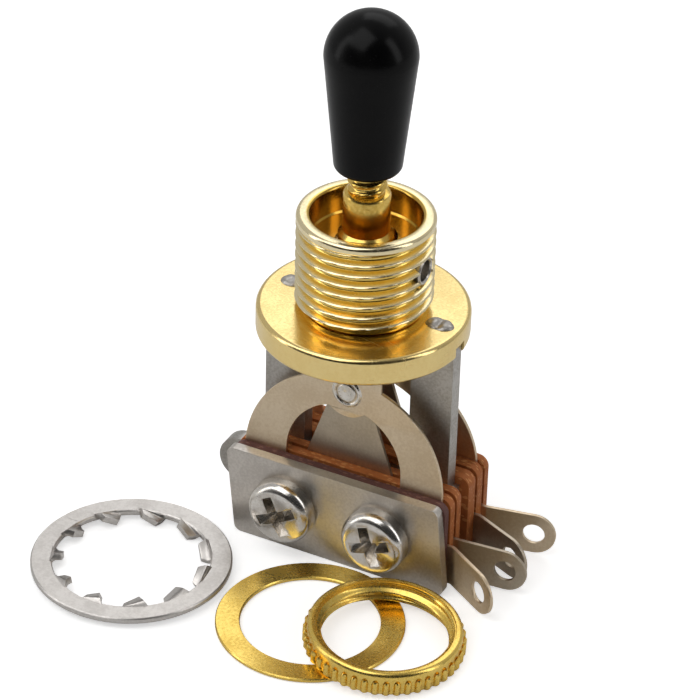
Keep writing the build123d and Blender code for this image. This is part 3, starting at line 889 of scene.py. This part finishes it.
def grow(obj: Piece, tree: bpy.types.NodeTree, **settings: Any) -> Piece:
    """Run a geometry tree on an object and keep its result as plain mesh.

    Args:
        obj: The object that carries the tree.
        tree: The geometry tree.
        **settings: The tree's input values by name, with an underscore for a space.

    Returns:
        The object with the finished mesh.
    """
    modifier = obj.modifiers.new(tree.name, "NODES")
    modifier.node_group = tree
    sockets = {item.name: item.identifier for item in tree.interface.items_tree if item.in_out == "INPUT"}
    for name, value in settings.items():
        modifier[sockets[name.replace("_", " ")]] = value
    return close_up(settle(obj))


# ---------------------------------------------------------------- the workshop


@dataclass
class Workshop:
    """What every sub-assembly needs: the materials and the geometry trees."""

    paints: Paints
    trees: GeometryTrees

    def thread(self, name: str, finish: str, **settings: Any) -> Piece:
        """Return a thread tube made by the thread tree."""
        start = show(name, bpy.data.meshes.new(name))
        return grow(start, self.trees.thread, Finish=self.paints.get(finish), **settings)

    def ring(self, unit: Piece, count: int, finish: str, turn: float = 0.0) -> Piece:
        """Return copies of a shape set evenly round Z."""
        return grow(unit, self.trees.ring, Count=count, Turn=turn, Finish=self.paints.get(finish))

    def dress(self, obj: Piece, finish: str, edge: str = "") -> None:
        """Give an object its finish, and its rounded edges another one if that is named."""
        obj.data.materials.clear()
        for name in filter(None, (finish, edge)):
            obj.data.materials.append(self.paints.get(name))
        if not edge:
            for face in obj.data.polygons:
                face.material_index = 0

    def place(
        self, obj: Piece, node: str, body: Body, finish: str, edge: str = "", slot: str = "",
        bend: tuple[float, float] | None = None,
    ) -> Piece:
        """Finish a piece and put it in the frame in its CAD node's place.

        Args:
            obj: The finished mesh in millimetres.
            node: The CAD node that it stands for.
            body: The body that it rides on.
            finish: The finish's name.
            edge: The finish of its rounded edges, if another.
            slot: Not used.
            bend: The heights between which a blade was meant to bend; only whether it is given is read, and
                such a piece is not attached to its body.

        Returns:
            The placed piece.
        """
        self.dress(obj, finish, edge)
        if not bend:
            close_up(obj, LAST_WELD)
        obj.name = f"{node}_piece"
        moved(obj, Matrix.Scale(MM, 4))
        shade(obj)
        if bend:
            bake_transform(obj)
        else:
            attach(obj, body.value)
        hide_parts(node)
        log.info("%s: %d faces on %s", obj.name, len(obj.data.polygons), body.value)
        return obj

    def keep(self, node: str, finish: str) -> None:
        """Keep a CAD node as it is, with its procedural finish."""
        mesh = frame["nodes"][node].data
        for index in range(len(mesh.materials)):
            mesh.materials[index] = self.paints.get(finish)
        log.info("%s: kept from CAD", node)


def shade(obj: Piece, angle: float = SHARP_ANGLE) -> None:
    """Shade an object smoothly, except across sharp edges, with its large faces kept flat."""
    obj.data.shade_smooth()
    obj.data.set_sharp_from_angle(angle=angle)
    flatten = obj.modifiers.new("flatten", "WEIGHTED_NORMAL")
    flatten.keep_sharp = True
    settle(obj)


# ---------------------------------------------------------------- sub-assemblies


@dataclass
class Bushing:
    """The threaded barrel on its flange, slotted for the lever."""

    shop: Workshop
    crest_radius: float = 6.0
    root_radius: float = 5.36
    core_radius: float = 5.2
    crest_shape: float = 1.9
    pitch: float = 1.03
    lip_height: float = 0.85
    lip_round: float = 0.32
    mouth_radius: float = 4.8
    mouth_depth: float = 2.6
    rim_round: float = 0.45
    top_round: float = 0.4
    mouth_round: float = 0.3
    slot_half: float = 2.5
    slot_end: float = 4.1
    slot_top_shift: float = 0.56
    pin_radius: float = 1.35
    pin_height: float = 4.9
    seat_inner: float = 5.05
    seat_outer: float = 11.0
    seat_half: float = 0.8
    seat_depth: float = 1.2

    def body(self) -> Piece:
        """Return the flange, core, lip and mouth as one turned solid."""
        low, high = place_of("threaded_bushing")
        bottom, top = low.z, high.z
        rim = high.x - self.rim_round
        lip = (self.crest_radius - self.lip_round, top - self.lip_height + self.lip_round)
        outline = [(0, bottom)]
        outline += arc((rim, bottom + self.rim_round), self.rim_round, -90, 0)
        outline += arc((rim, -self.rim_round), self.rim_round, 0, 90)
        outline += [(self.core_radius + 0.3, 0), (self.core_radius, 0.12)]
        outline += [(self.core_radius, top - self.lip_height - 0.25)]
        outline += arc(lip, self.lip_round, -80, 0, 5)
        outline += arc((self.crest_radius - self.top_round, top - self.top_round), self.top_round, 0, 90)
        mouth = (self.mouth_radius + self.mouth_round, top - self.mouth_round)
        outline += arc(mouth, self.mouth_round, 90, 180, 4)
        outline += [(self.mouth_radius, top - self.mouth_depth + 0.15)]
        outline += [(self.mouth_radius - 0.15, top - self.mouth_depth), (0, top - self.mouth_depth)]
        return lathe("bushing", outline)

    def build(self) -> None:
        """Make and place the bushing."""
        low, high = place_of("threaded_bushing")
        top = high.z
        barrel = self.body()
        thread = self.shop.thread(
            "thread", "gold", Root=self.root_radius, Crest=self.crest_radius, Back=self.core_radius - 0.2,
            Pitch=self.pitch, Start=0.15, Length=top - self.lip_height + 0.25, Run_Out=0.6,
            Around=ROUND_SIDES, Rows=150, Crest_Shape=self.crest_shape,
        )
        combine(barrel, thread, "UNION")
        floor = top - self.mouth_depth
        under = low.z - 1
        half, shift, height = self.slot_half, self.slot_top_shift, self.pin_height
        cuts = [
            slab("slot", (-half, -self.slot_end, under), (half, self.slot_end, height)),
            slab("slot_top", (-half, -shift, 0), (half, shift, floor + 1)),
            rod("pin_hole", self.pin_radius, (-THROUGH, 0, height), (THROUGH, 0, height)),
        ]
        for side in (-1, 1):
            y = side * shift
            cuts.append(rod("slot_end", half, (0, y, 0), (0, y, floor + 1)))
            near, far = sorted((side * self.seat_inner, side * self.seat_outer))
            seat = (near, -self.seat_half, under), (far, self.seat_half, low.z + self.seat_depth)
            cuts.append(slab("seat", *seat))
        for cutter in cuts:
            combine(barrel, cutter)
        # The barrel's finish carries painted highlight on crests, flange and rim top, and painted shade in
        # the bore.
        self.shop.place(barrel, "threaded_bushing", Body.ROOT, "gold_worn", slot="gold")


@dataclass
class Lever:
    """The lever with its threaded neck, black tip, cross pin and cam."""

    shop: Workshop
    shaft_radius: float = 2.05
    hub_radius: float = 2.4
    hub_half: float = 2.2
    stud_radius: float = 1.2
    neck_crest: float = 1.7
    neck_root: float = 1.42
    neck_pitch: float = 0.75
    shoulder: float = 11.2
    shoulder_chamfer: float = 0.35
    cam_top: float = -2.9
    cam_edge: float = 0.15
    tip_foot: float = 2.95
    tip_round: float = 0.55
    pin_height: float = 4.9
    pin_radius: float = 1.3
    pin_cup: float = 0.95
    pin_proud: float = 0.05

    def build_shaft(self) -> None:
        """Make and place the lever itself."""
        low, high = place_of("toggle_lever")
        step = self.hub_radius - self.shaft_radius
        hub_low, hub_high = self.pin_height - self.hub_half, self.pin_height + self.hub_half
        outline = [(0, low.z), (self.stud_radius, low.z), (self.stud_radius, self.cam_top)]
        outline += [(self.shaft_radius, self.cam_top), (self.shaft_radius, hub_low - step)]
        outline += [(self.hub_radius, hub_low), (self.hub_radius, hub_high)]
        outline += [(self.shaft_radius, hub_high + step)]
        outline += [(self.shaft_radius, self.shoulder - self.shoulder_chamfer)]
        outline += [(self.shaft_radius - 0.1, self.shoulder - 0.12), (self.neck_crest, self.shoulder)]
        outline += [(self.neck_root - 0.02, self.shoulder), (self.neck_root - 0.02, high.z), (0, high.z)]
        lever = lathe("lever", outline, SMALL_SIDES * 2)
        thread = self.shop.thread(
            "neck", "gold", Root=self.neck_root, Crest=self.neck_crest, Back=self.neck_root - 0.3,
            Pitch=self.neck_pitch, Start=self.shoulder - 0.2, Length=5.0, Run_Out=0.3,
            Around=SMALL_SIDES * 2, Rows=90,
        )
        combine(lever, thread, "UNION")
        height = self.pin_height
        combine(lever, rod("pin_hole", self.pin_radius + 0.05, (-THROUGH, 0, height), (THROUGH, 0, height)))
        self.shop.place(lever, "toggle_lever", Body.LEVER, "gold")

    def build_tip(self) -> None:
        """Make and place the black tip."""
        low, high = place_of("lever_tip")
        widest = high.x
        foot, corner = self.tip_foot, self.tip_round
        side, dome = low.z + 0.6, high.z - widest
        neck = self.neck_crest
        outline = [(0, low.z + 0.25), (neck + 0.15, low.z + 0.25), (neck + 0.3, low.z)]
        outline += arc((foot - corner, low.z + corner), corner, -90, -5, 8)
        outline += [(foot + (widest - foot) * k / 8, side + (dome - side) * k / 8) for k in range(1, 8)]
        outline += arc((0, dome), widest, 0, 90, 22)
        self.shop.place(lathe("tip", outline), "lever_tip", Body.LEVER, "tip_black")

    def build_pin(self) -> None:
        """Make and place the cupped cross pin."""
        half = place_of("pivot_pin")[1].x + self.pin_proud
        upper = [(self.pin_radius, half - 0.12), (self.pin_radius - 0.12, half)]
        upper += [(self.pin_cup + 0.1, half), (self.pin_cup, half - 0.12)]
        upper += [(self.pin_cup - 0.05, half - 1.0), (0, half - 1.1)]
        lower = [(r, -z) for r, z in reversed(upper)]
        pin = lathe("pin", lower + upper, SMALL_SIDES)
        moved(pin, Matrix.Translation((0, 0, self.pin_height)) @ Matrix.Rotation(math.pi / 2, 4, "Y"))
        self.shop.place(pin, "pivot_pin", Body.PIN, "pin_steel")

    def build(self) -> None:
        """Make and place the lever, tip, pin and cam."""
        self.build_shaft()
        self.build_tip()
        self.build_pin()
        self.shop.place(soften(copy_of("lever_cam"), self.cam_edge), "lever_cam", Body.LEVER, "cam_nylon")


@dataclass
class SupportFrame:
    """The flat steel frame, with its tabs peened over the flange."""

    shop: Workshop
    head_width: float = 1.75
    head_height: float = 0.32
    edge: float = 0.09
    steps: int = 28
    outline_wobble: float = 0.13
    wobble_scale: float = 1.3
    dent_depth: float = 0.18
    dent_scale: float = 1.6
    groove_half: float = 0.28

    def peened_head(self, centre: float, length: float, split: float, seed: float) -> Piece:
        """Make one hammered tab head.

        Args:
            centre: The head's place along X.
            length: The head's length along X.
            split: How deep the chisel's groove is, from 0 to 1.
            seed: Where in the noise its uneven outline starts.

        Returns:
            The head as a closed mesh.
        """
        shape = bmesh.new()
        rings = []
        count = self.steps // 3
        for ring in range(count + 1):
            reach = ring / count
            row = []
            for k in range(self.steps):
                angle = FULL_TURN * k / self.steps
                round_z = Vector((math.cos(angle), math.sin(angle), 0))
                spot = round_z * self.wobble_scale + Vector((0, 0, seed))
                wobble = 1 + self.outline_wobble * noise.noise(spot)
                x = reach * wobble * length / 2 * math.cos(angle)
                y = reach * wobble * self.head_width / 2 * math.sin(angle)
                swell = math.sqrt(max(0.0, 1 - reach ** 2.6))
                groove = 1 - split * math.exp(-((x / self.groove_half) ** 2))
                spot = Vector((x * self.dent_scale, y * self.dent_scale, seed + 3))
                dent = 1 + self.dent_depth * noise.noise(spot)
                row.append(shape.verts.new((x, y, self.head_height * swell * groove * dent)))
            rings.append(row)
        rings.append([shape.verts.new((v.co.x * 0.98, v.co.y * 0.98, -0.06)) for v in rings[-1]])
        skin(shape, rings)
        shape.faces.new(rings[-1])
        shape.transform(Matrix.Translation((centre, 0, 0.01)))
        return close_up(from_bmesh("head", shape), CUT_WELD)

    def build(self) -> None:
        """Make and place the frame."""
        steel = combine(copy_of("support_frame"), slab("top", (-12, -3, -0.3), (12, 3, 1)))
        soften(steel, self.edge, material=1)
        heads = [self.peened_head(-7.0, 1.9, 0.2, 1.0), self.peened_head(7.25, 2.7, 0.8, 5.0)]
        join(steel, heads)
        self.shop.place(steel, "support_frame", Body.ROOT, "frame_steel", "worn_edge")


@dataclass
class Screw:
    """A pan-head screw with a tapered cross recess."""

    shop: Workshop
    side: str
    turn: float
    head_radius: float = 3.05
    head_height: float = 2.1
    shank_radius: float = 1.45
    arm_length: float = 4.5
    arm_width: float = 1.05
    recess_depth: float = 1.75
    cone_foot: float = 0.42
    cone_rim: float = 0.8
    dome_round: float = 0.95
    above: float = 0.25
    taper: tuple[float, float] = (0.36, 0.55)
    draft: float = 1.05
    edge: float = 0.05

    def recess(self) -> Piece:
        """Return the cross-shaped cutter, tapered towards its floor."""
        arms = []
        for quarter in (0, 1):
            shape = bmesh.new()
            bmesh.ops.create_cube(shape, size=1.0)
            for vert in shape.verts:
                deep = vert.co.z < 0
                long, wide = self.taper if deep else (1.0, self.draft)
                level = -self.recess_depth if deep else self.above
                vert.co = (vert.co.x * self.arm_length * long, vert.co.y * self.arm_width * wide, level)
            arm = from_bmesh("arm", shape)
            arms.append(moved(arm, Matrix.Rotation(quarter * math.pi / 2, 4, "Z")))
        cross = combine(arms[0], arms[1], "UNION")
        cone = [(0, -self.recess_depth - 0.15), (self.cone_foot, -self.recess_depth + 0.1)]
        cone += [(self.cone_rim, self.above), (0, self.above)]
        return combine(cross, lathe("cone", cone, 24), "UNION")

    def build(self) -> None:
        """Make and place the screw."""
        node = f"screw_{self.side}"
        low, high = place_of(node)
        length = high.y - low.y
        under, rim = -self.head_height, self.head_radius
        head = [(0, 0), (1.2, -0.02), (1.9, -0.12)]
        head += arc((rim - self.dome_round, -1.1), self.dome_round, 72, 0, 8)
        head += [(rim, under + 0.25), (rim - 0.2, under), (self.shank_radius, under)]
        head += [(self.shank_radius, -length + 0.3), (self.shank_radius - 0.3, -length), (0, -length)]
        screw = lathe("screw", head)
        close_up(combine(screw, self.recess()), CUT_WELD)
        soften(screw, self.edge, angle=50)
        middle = middle_of(node)
        facing = Matrix.Translation((middle.x, low.y, middle.z)) @ Matrix.Rotation(math.pi / 2, 4, "X")
        moved(screw, facing @ Matrix.Rotation(math.radians(self.turn), 4, "Z"))
        self.shop.place(screw, node, Body.ROOT, "screw_nickel")


@dataclass
class Stack:
    """The clamp plates, screws, insulators, blades and contacts."""

    shop: Workshop
    bend_start: float = -15.6
    bend_end: float = -8.6
    bend_rows: int = 26
    blade_edge: float = 0.06
    clamp_edge: float = 0.11
    fibre_edge: float = 0.08

    def build_plates(self) -> None:
        """Make and place the clamp plates and insulators."""
        for node in ("front_clamp_plate", "rear_clamp_plate"):
            plate = soften(copy_of(node), self.clamp_edge, material=1)
            self.shop.place(plate, node, Body.ROOT, "clamp_nickel", "worn_edge")
        for side in Side:
            for place in ("inner", "middle", "outer"):
                node = f"insulator_{side.value}_{place}"
                finish = "fibre_front" if node == "insulator_front_outer" else "fibre"
                self.shop.place(soften(copy_of(node), self.fibre_edge), node, Body.ROOT, finish)

    def build_inner_blade(self, side: Side) -> None:
        """Make and place a straight blade."""
        node = f"{side.value}_inner_blade"
        blade = soften(copy_of(node), self.blade_edge, material=1)
        # The inner blade takes the darker copy of the blade finish, which is painted shade.
        self.shop.place(blade, node, Body.ROOT, "blade_dull", "worn_edge", slot="blade_silver")

    def build_outer_blade(self, side: Side) -> None:
        """Make and place an arched blade, sliced at Z levels between the stack and its contact."""
        node = f"{side.value}_outer_blade"
        blade = soften(copy_of(node), self.blade_edge, material=1)
        span = self.bend_end - self.bend_start
        sliced(blade, [self.bend_start + span * k / self.bend_rows for k in range(self.bend_rows + 1)])
        bend = (self.bend_start, self.bend_end)
        self.shop.place(blade, node, side.body, "blade_silver", "worn_edge", bend=bend)

    def build_contact(self, side: Side) -> None:
        """Make an arched blade's rivet, with the pressed ring round it."""
        node = f"{side.value}_outer_contact"
        low, high = place_of(node)
        sign = -1 if side is Side.FRONT else 1
        inner, outer = (high.y, low.y) if side is Side.FRONT else (low.y, high.y)
        depth = abs(outer - inner)
        head, back = 0.2, 0.12
        blade_face = depth - back
        outline = [(0, 0), (0.75, 0), (0.9, 0.08), (0.9, head), (0.7, head), (0.7, blade_face)]
        outline += [(0.88, depth - 0.05), (0.8, depth), (0.35, depth), (0.2, depth - 0.04), (0, depth - 0.05)]
        rivet = lathe("rivet", outline, SMALL_SIDES)
        ring = [(1.0, blade_face - 0.03), (1.02, blade_face + 0.05)]
        ring += arc((1.2, blade_face - 0.03), 0.18, 150, 30, 6)
        ring += [(1.46, blade_face), (1.6, blade_face - 0.03)]
        rim = lathe("rim", ring, SMALL_SIDES)
        for face in rim.data.polygons:
            face.material_index = 1
        join(rivet, [rim])
        middle = middle_of(node)
        facing = Matrix.Rotation(-sign * math.pi / 2, 4, "X")
        moved(rivet, Matrix.Translation((middle.x, inner, middle.z)) @ facing)
        self.shop.place(rivet, node, side.body, "contact_silver", "blade_silver")

    def build(self) -> None:
        """Make and place the whole stack."""
        self.build_plates()
        Screw(self.shop, "left", 28.0).build()
        Screw(self.shop, "right", 20.0).build()
        for side in Side:
            self.build_inner_blade(side)
            self.build_outer_blade(side)
            self.build_contact(side)
            self.shop.keep(f"{side.value}_inner_contact", "contact_silver")
        for side in ("left", "right"):
            self.shop.keep(f"{side}_screw_sleeve", "sleeve_fibre")


@dataclass
class LockWasher:
    """The internal-tooth lock washer."""

    shop: Workshop
    band: float = 1.9
    thickness: float = 0.6
    teeth: int = 11
    tooth_root: float = 2.6
    tooth_end: float = 1.5
    tooth_overlap: float = 0.14
    twist: float = 28.0
    bore: float = 6.1
    edge: float = 0.12
    soft_edge: float = 0.06
    turn: float = 0.12
    fill: float = 0.96
    twist_gain: float = 2.2

    def tooth(self, reach: float) -> Piece:
        """Return one twisted tooth, pointing inwards from its root at a radius."""
        shape = bmesh.new()
        steps = 6
        rows = []
        for k in range(steps + 1):
            share = k / steps
            radius = reach + (self.bore - reach) * share
            half = (self.tooth_root + (self.tooth_end - self.tooth_root) * share) / 2
            angle = math.radians(self.twist) * min(1.0, share * self.twist_gain)
            row = []
            for y, z in ((-half, -0.5), (half, -0.5), (half, 0.5), (-half, 0.5)):
                z *= self.thickness * self.fill
                tall = y * math.sin(angle) + z * math.cos(angle)
                row.append(shape.verts.new((radius, y * math.cos(angle) - z * math.sin(angle), tall)))
            rows.append(row)
        skin(shape, rows)
        shape.faces.new(rows[0])
        shape.faces.new(rows[-1])
        return solid("tooth", shape)

    def build(self) -> None:
        """Make and place the washer."""
        low, high = place_of("lock_washer")
        outer = (high.x - low.x) / 2
        inner = outer - self.band
        ring = lathe("lock_ring", ring_outline(inner, outer, self.thickness / 2, self.edge))
        teeth = self.shop.ring(self.tooth(inner + self.tooth_overlap), self.teeth, "washer_steel", self.turn)
        combine(ring, teeth, "UNION")
        soften(ring, self.soft_edge, angle=40, material=1)
        moved(ring, Matrix.Translation(middle_of("lock_washer")))
        self.shop.place(ring, "lock_washer", Body.LOCK_WASHER, "washer_steel", "worn_edge")


@dataclass
class FlatWasher:
    """The thin gold washer."""

    shop: Workshop
    bore: float = 6.1
    edge: float = 0.09

    def build(self) -> None:
        """Make and place the washer."""
        low, high = place_of("flat_washer")
        outer, half = (high.x - low.x) / 2, (high.z - low.z) / 2
        washer = lathe("washer", ring_outline(self.bore, outer, half, self.edge))
        moved(washer, Matrix.Translation(middle_of("flat_washer")))
        self.shop.place(washer, "flat_washer", Body.FLAT_WASHER, "washer_gold")


@dataclass
class Nut:
    """The round knurled nut, leaning on the flat washer."""

    shop: Workshop
    outer: float = 7.05
    height: float = 2.2
    bore_minor: float = 5.5
    bore_major: float = 5.95
    chamfer: float = 0.55
    knurls: int = 45
    knurl_height: float = 1.35
    knurl_rise: float = 0.34
    knurl_share: float = 0.66
    knurl_foot: float = 0.12
    knurl_end: float = 0.55
    knurl_crown: float = 0.4
    pitch: float = 1.0
    rim_round: float = 0.45
    sides: int = 180

    def ridge(self) -> Piece:
        """Return one knurl ridge with an arched top."""
        root = self.outer - self.knurl_rise
        half = math.pi * self.outer / self.knurls * self.knurl_share
        shape = bmesh.new()
        steps, rows = 6, 6
        foot, top = self.knurl_foot, self.knurl_height - 0.3
        grid = []
        for row in range(rows + 1):
            line = []
            for k in range(steps + 1):
                across = -1 + 2 * k / steps
                crown = math.sqrt(max(0.0, 1 - across ** 2)) * self.knurl_crown
                z = foot + row / rows * (top + crown - foot)
                rise = self.knurl_rise * (1 - across ** 2)
                fade = 1.0 if 0 < row < rows else self.knurl_end
                line.append(shape.verts.new((root + rise * fade, across * half, z)))
            grid.append(line)
        back = [[shape.verts.new((root - 0.3, y, z)) for y in (-half, half)] for z in (foot, top)]
        skin(shape, grid, closed=False)
        shape.faces.new([*grid[0], back[0][1], back[0][0]])
        shape.faces.new([*reversed(grid[-1]), back[1][0], back[1][1]])
        shape.faces.new([*[line[0] for line in grid], back[1][0], back[0][0]])
        shape.faces.new([*[line[-1] for line in reversed(grid)], back[0][1], back[1][1]])
        shape.faces.new([back[0][0], back[0][1], back[1][1], back[1][0]])
        return solid("ridge", shape)

    def build(self) -> None:
        """Make and place the nut."""
        root = self.outer - self.knurl_rise
        wide = self.bore_minor + self.chamfer
        outline = [(wide, 0), (root - 0.15, 0), (root, 0.15), (root, self.knurl_height - 0.1)]
        outline += [(root + 0.02, self.knurl_height + 0.05)]
        outline += arc((root - self.rim_round, self.height - self.rim_round), self.rim_round, 5, 90)
        outline += [(wide + 0.05, self.height), (self.bore_major, self.height - self.chamfer)]
        outline += [(self.bore_major, self.chamfer)]
        nut = lathe("nut", outline, self.sides)
        ridges = self.shop.ring(self.ridge(), self.knurls, "washer_gold")
        combine(nut, ridges, "UNION")
        thread = self.shop.thread(
            "bore_thread", "washer_gold", Root=self.bore_major + 0.02, Crest=self.bore_minor,
            Back=self.bore_major + 0.25, Pitch=self.pitch, Start=0.15, Length=self.height - 0.3,
            Run_Out=0.35, Around=self.sides, Rows=36,
        )
        combine(nut, thread, "UNION")
        mount = next(m for m in frame["record"]["mounts"] if m["name"] == "nut_thread")
        lean = Vector(mount["axis"]).to_track_quat("Z", "Y").to_matrix().to_4x4()
        centre = Vector(mount["pos_m"]) / MM
        moved(nut, Matrix.Translation(centre) @ lean @ Matrix.Translation((0, 0, -self.height / 2)))
        self.shop.place(nut, "knurled_nut", Body.NUT, "washer_gold")


# ---------------------------------------------------------------- stage


@dataclass(frozen=True)
class Lamp:
    """A soft rectangular light that points at the switch."""

    name: str
    azimuth: float
    elevation: float
    distance: float
    size: tuple[float, float]
    power: float


@dataclass
class Stage:
    """The floor, lights, sky and camera."""

    camera_azimuth: float = 26.07
    camera_elevation: float = 33.32
    camera_roll: float = 1.77
    camera_distance: float = 0.3
    aim: Colour = (0.0, 0.0, -0.005)
    lens: float = 178.0
    shift: tuple[float, float] = (-0.0176, 0.0010)
    floor_half: float = 0.6
    floor_gap: float = 0.00003
    floor_white: float = 0.85
    floor_glow: float = 0.55
    sky_front: float = 0.03
    sky_back: float = 0.48
    sky_turn: tuple[float, float] = (-0.75, 0.55)
    lamps: tuple[Lamp, ...] = (
        Lamp("key", -25.0, 62.0, 0.55, (0.45, 0.45), 1.1),
        Lamp("left_strip", -62.0, 22.0, 0.5, (0.12, 0.5), 0.4),
        Lamp("right_strip", 95.0, 28.0, 0.5, (0.14, 0.5), 0.4),
        Lamp("rear", 190.0, 45.0, 0.6, (0.5, 0.3), 0.5),
    )

    def towards(self, azimuth: float, elevation: float) -> Vector:
        """Return the direction from the switch to an azimuth and elevation in degrees."""
        a, e = math.radians(azimuth), math.radians(elevation)
        return Vector((math.sin(a) * math.cos(e), -math.cos(a) * math.cos(e), math.sin(e)))

    def build_floor(self) -> None:
        """Make the pale floor."""
        level = CAD_BOX[0][2] - self.floor_gap
        shape = bmesh.new()
        bmesh.ops.create_grid(shape, x_segments=1, y_segments=1, size=self.floor_half)
        bmesh.ops.translate(shape, verts=shape.verts, vec=(0, 0, level))
        floor = from_bmesh("floor", shape)
        material, desk, shader = new_material("pale_floor")
        white = self.floor_white
        seen = desk.add("ShaderNodeLightPath").outputs["Is Camera Ray"]
        settings = {
            "Base Color": (white, white, white, 1.0), "Roughness": 0.9, "Specular IOR Level": 0.1,
            "Emission Color": (1.0, 1.0, 1.0, 1.0), "Emission Strength": desk.product(seen, self.floor_glow),
        }
        for name, value in settings.items():
            desk.feed(shader.inputs[name], value)
        floor.data.materials.append(material)

    def build_lamps(self) -> None:
        """Make the soft lights."""
        for lamp in self.lamps:
            light = bpy.data.lights.new(lamp.name, "AREA")
            light.shape = "RECTANGLE"
            light.size, light.size_y = lamp.size
            light.energy = lamp.power
            obj = bpy.data.objects.new(lamp.name, light)
            bpy.context.scene.collection.objects.link(obj)
            direction = self.towards(lamp.azimuth, lamp.elevation)
            obj.location = direction * lamp.distance
            obj.rotation_euler = direction.to_track_quat("Z", "Y").to_euler()
        world = bpy.data.worlds.new("studio")
        world.use_nodes = True
        desk = NodeDesk(world.node_tree)
        direction = desk.add("ShaderNodeTexCoord").outputs["Generated"]
        away = -self.towards(self.camera_azimuth, 0.0)
        across = desk.add("ShaderNodeVectorMath", {0: direction, 1: tuple(away)}, operation="DOT_PRODUCT")
        level = desk.spread(across.outputs["Value"], *self.sky_turn, self.sky_front, self.sky_back)
        desk.feed(world.node_tree.nodes["Background"].inputs["Color"], level)
        bpy.context.scene.world = world

    def build_camera(self) -> None:
        """Make the camera."""
        back = self.towards(self.camera_azimuth, self.camera_elevation)
        lens = bpy.data.cameras.new("camera")
        lens.lens = self.lens
        lens.sensor_width = 36.0
        lens.clip_start = 0.01
        lens.shift_x, lens.shift_y = self.shift
        camera = bpy.data.objects.new("camera", lens)
        bpy.context.scene.collection.objects.link(camera)
        camera.location = Vector(self.aim) + back * self.camera_distance
        turn = back.to_track_quat("Z", "Y").to_matrix().to_4x4()
        roll = Matrix.Rotation(math.radians(self.camera_roll), 4, "Z")
        camera.rotation_euler = (turn @ roll).to_euler()
        bpy.context.scene.camera = camera

    def build(self) -> None:
        """Make the whole stage."""
        self.build_floor()
        self.build_lamps()
        self.build_camera()
        bpy.context.scene.view_settings.view_transform = "Standard"
        log.info("stage: %d lamps", len(self.lamps))


def main() -> None:
    """Build every piece and the stage."""
    logging.basicConfig(level=logging.INFO, format="%(name)s %(message)s")
    shop = Workshop(Paints(), GeometryTrees())
    for assembly in (Bushing, Lever, SupportFrame, Stack, LockWasher, FlatWasher, Nut):
        assembly(shop).build()
    Stage().build()


if __name__ == "__main__":
    main()
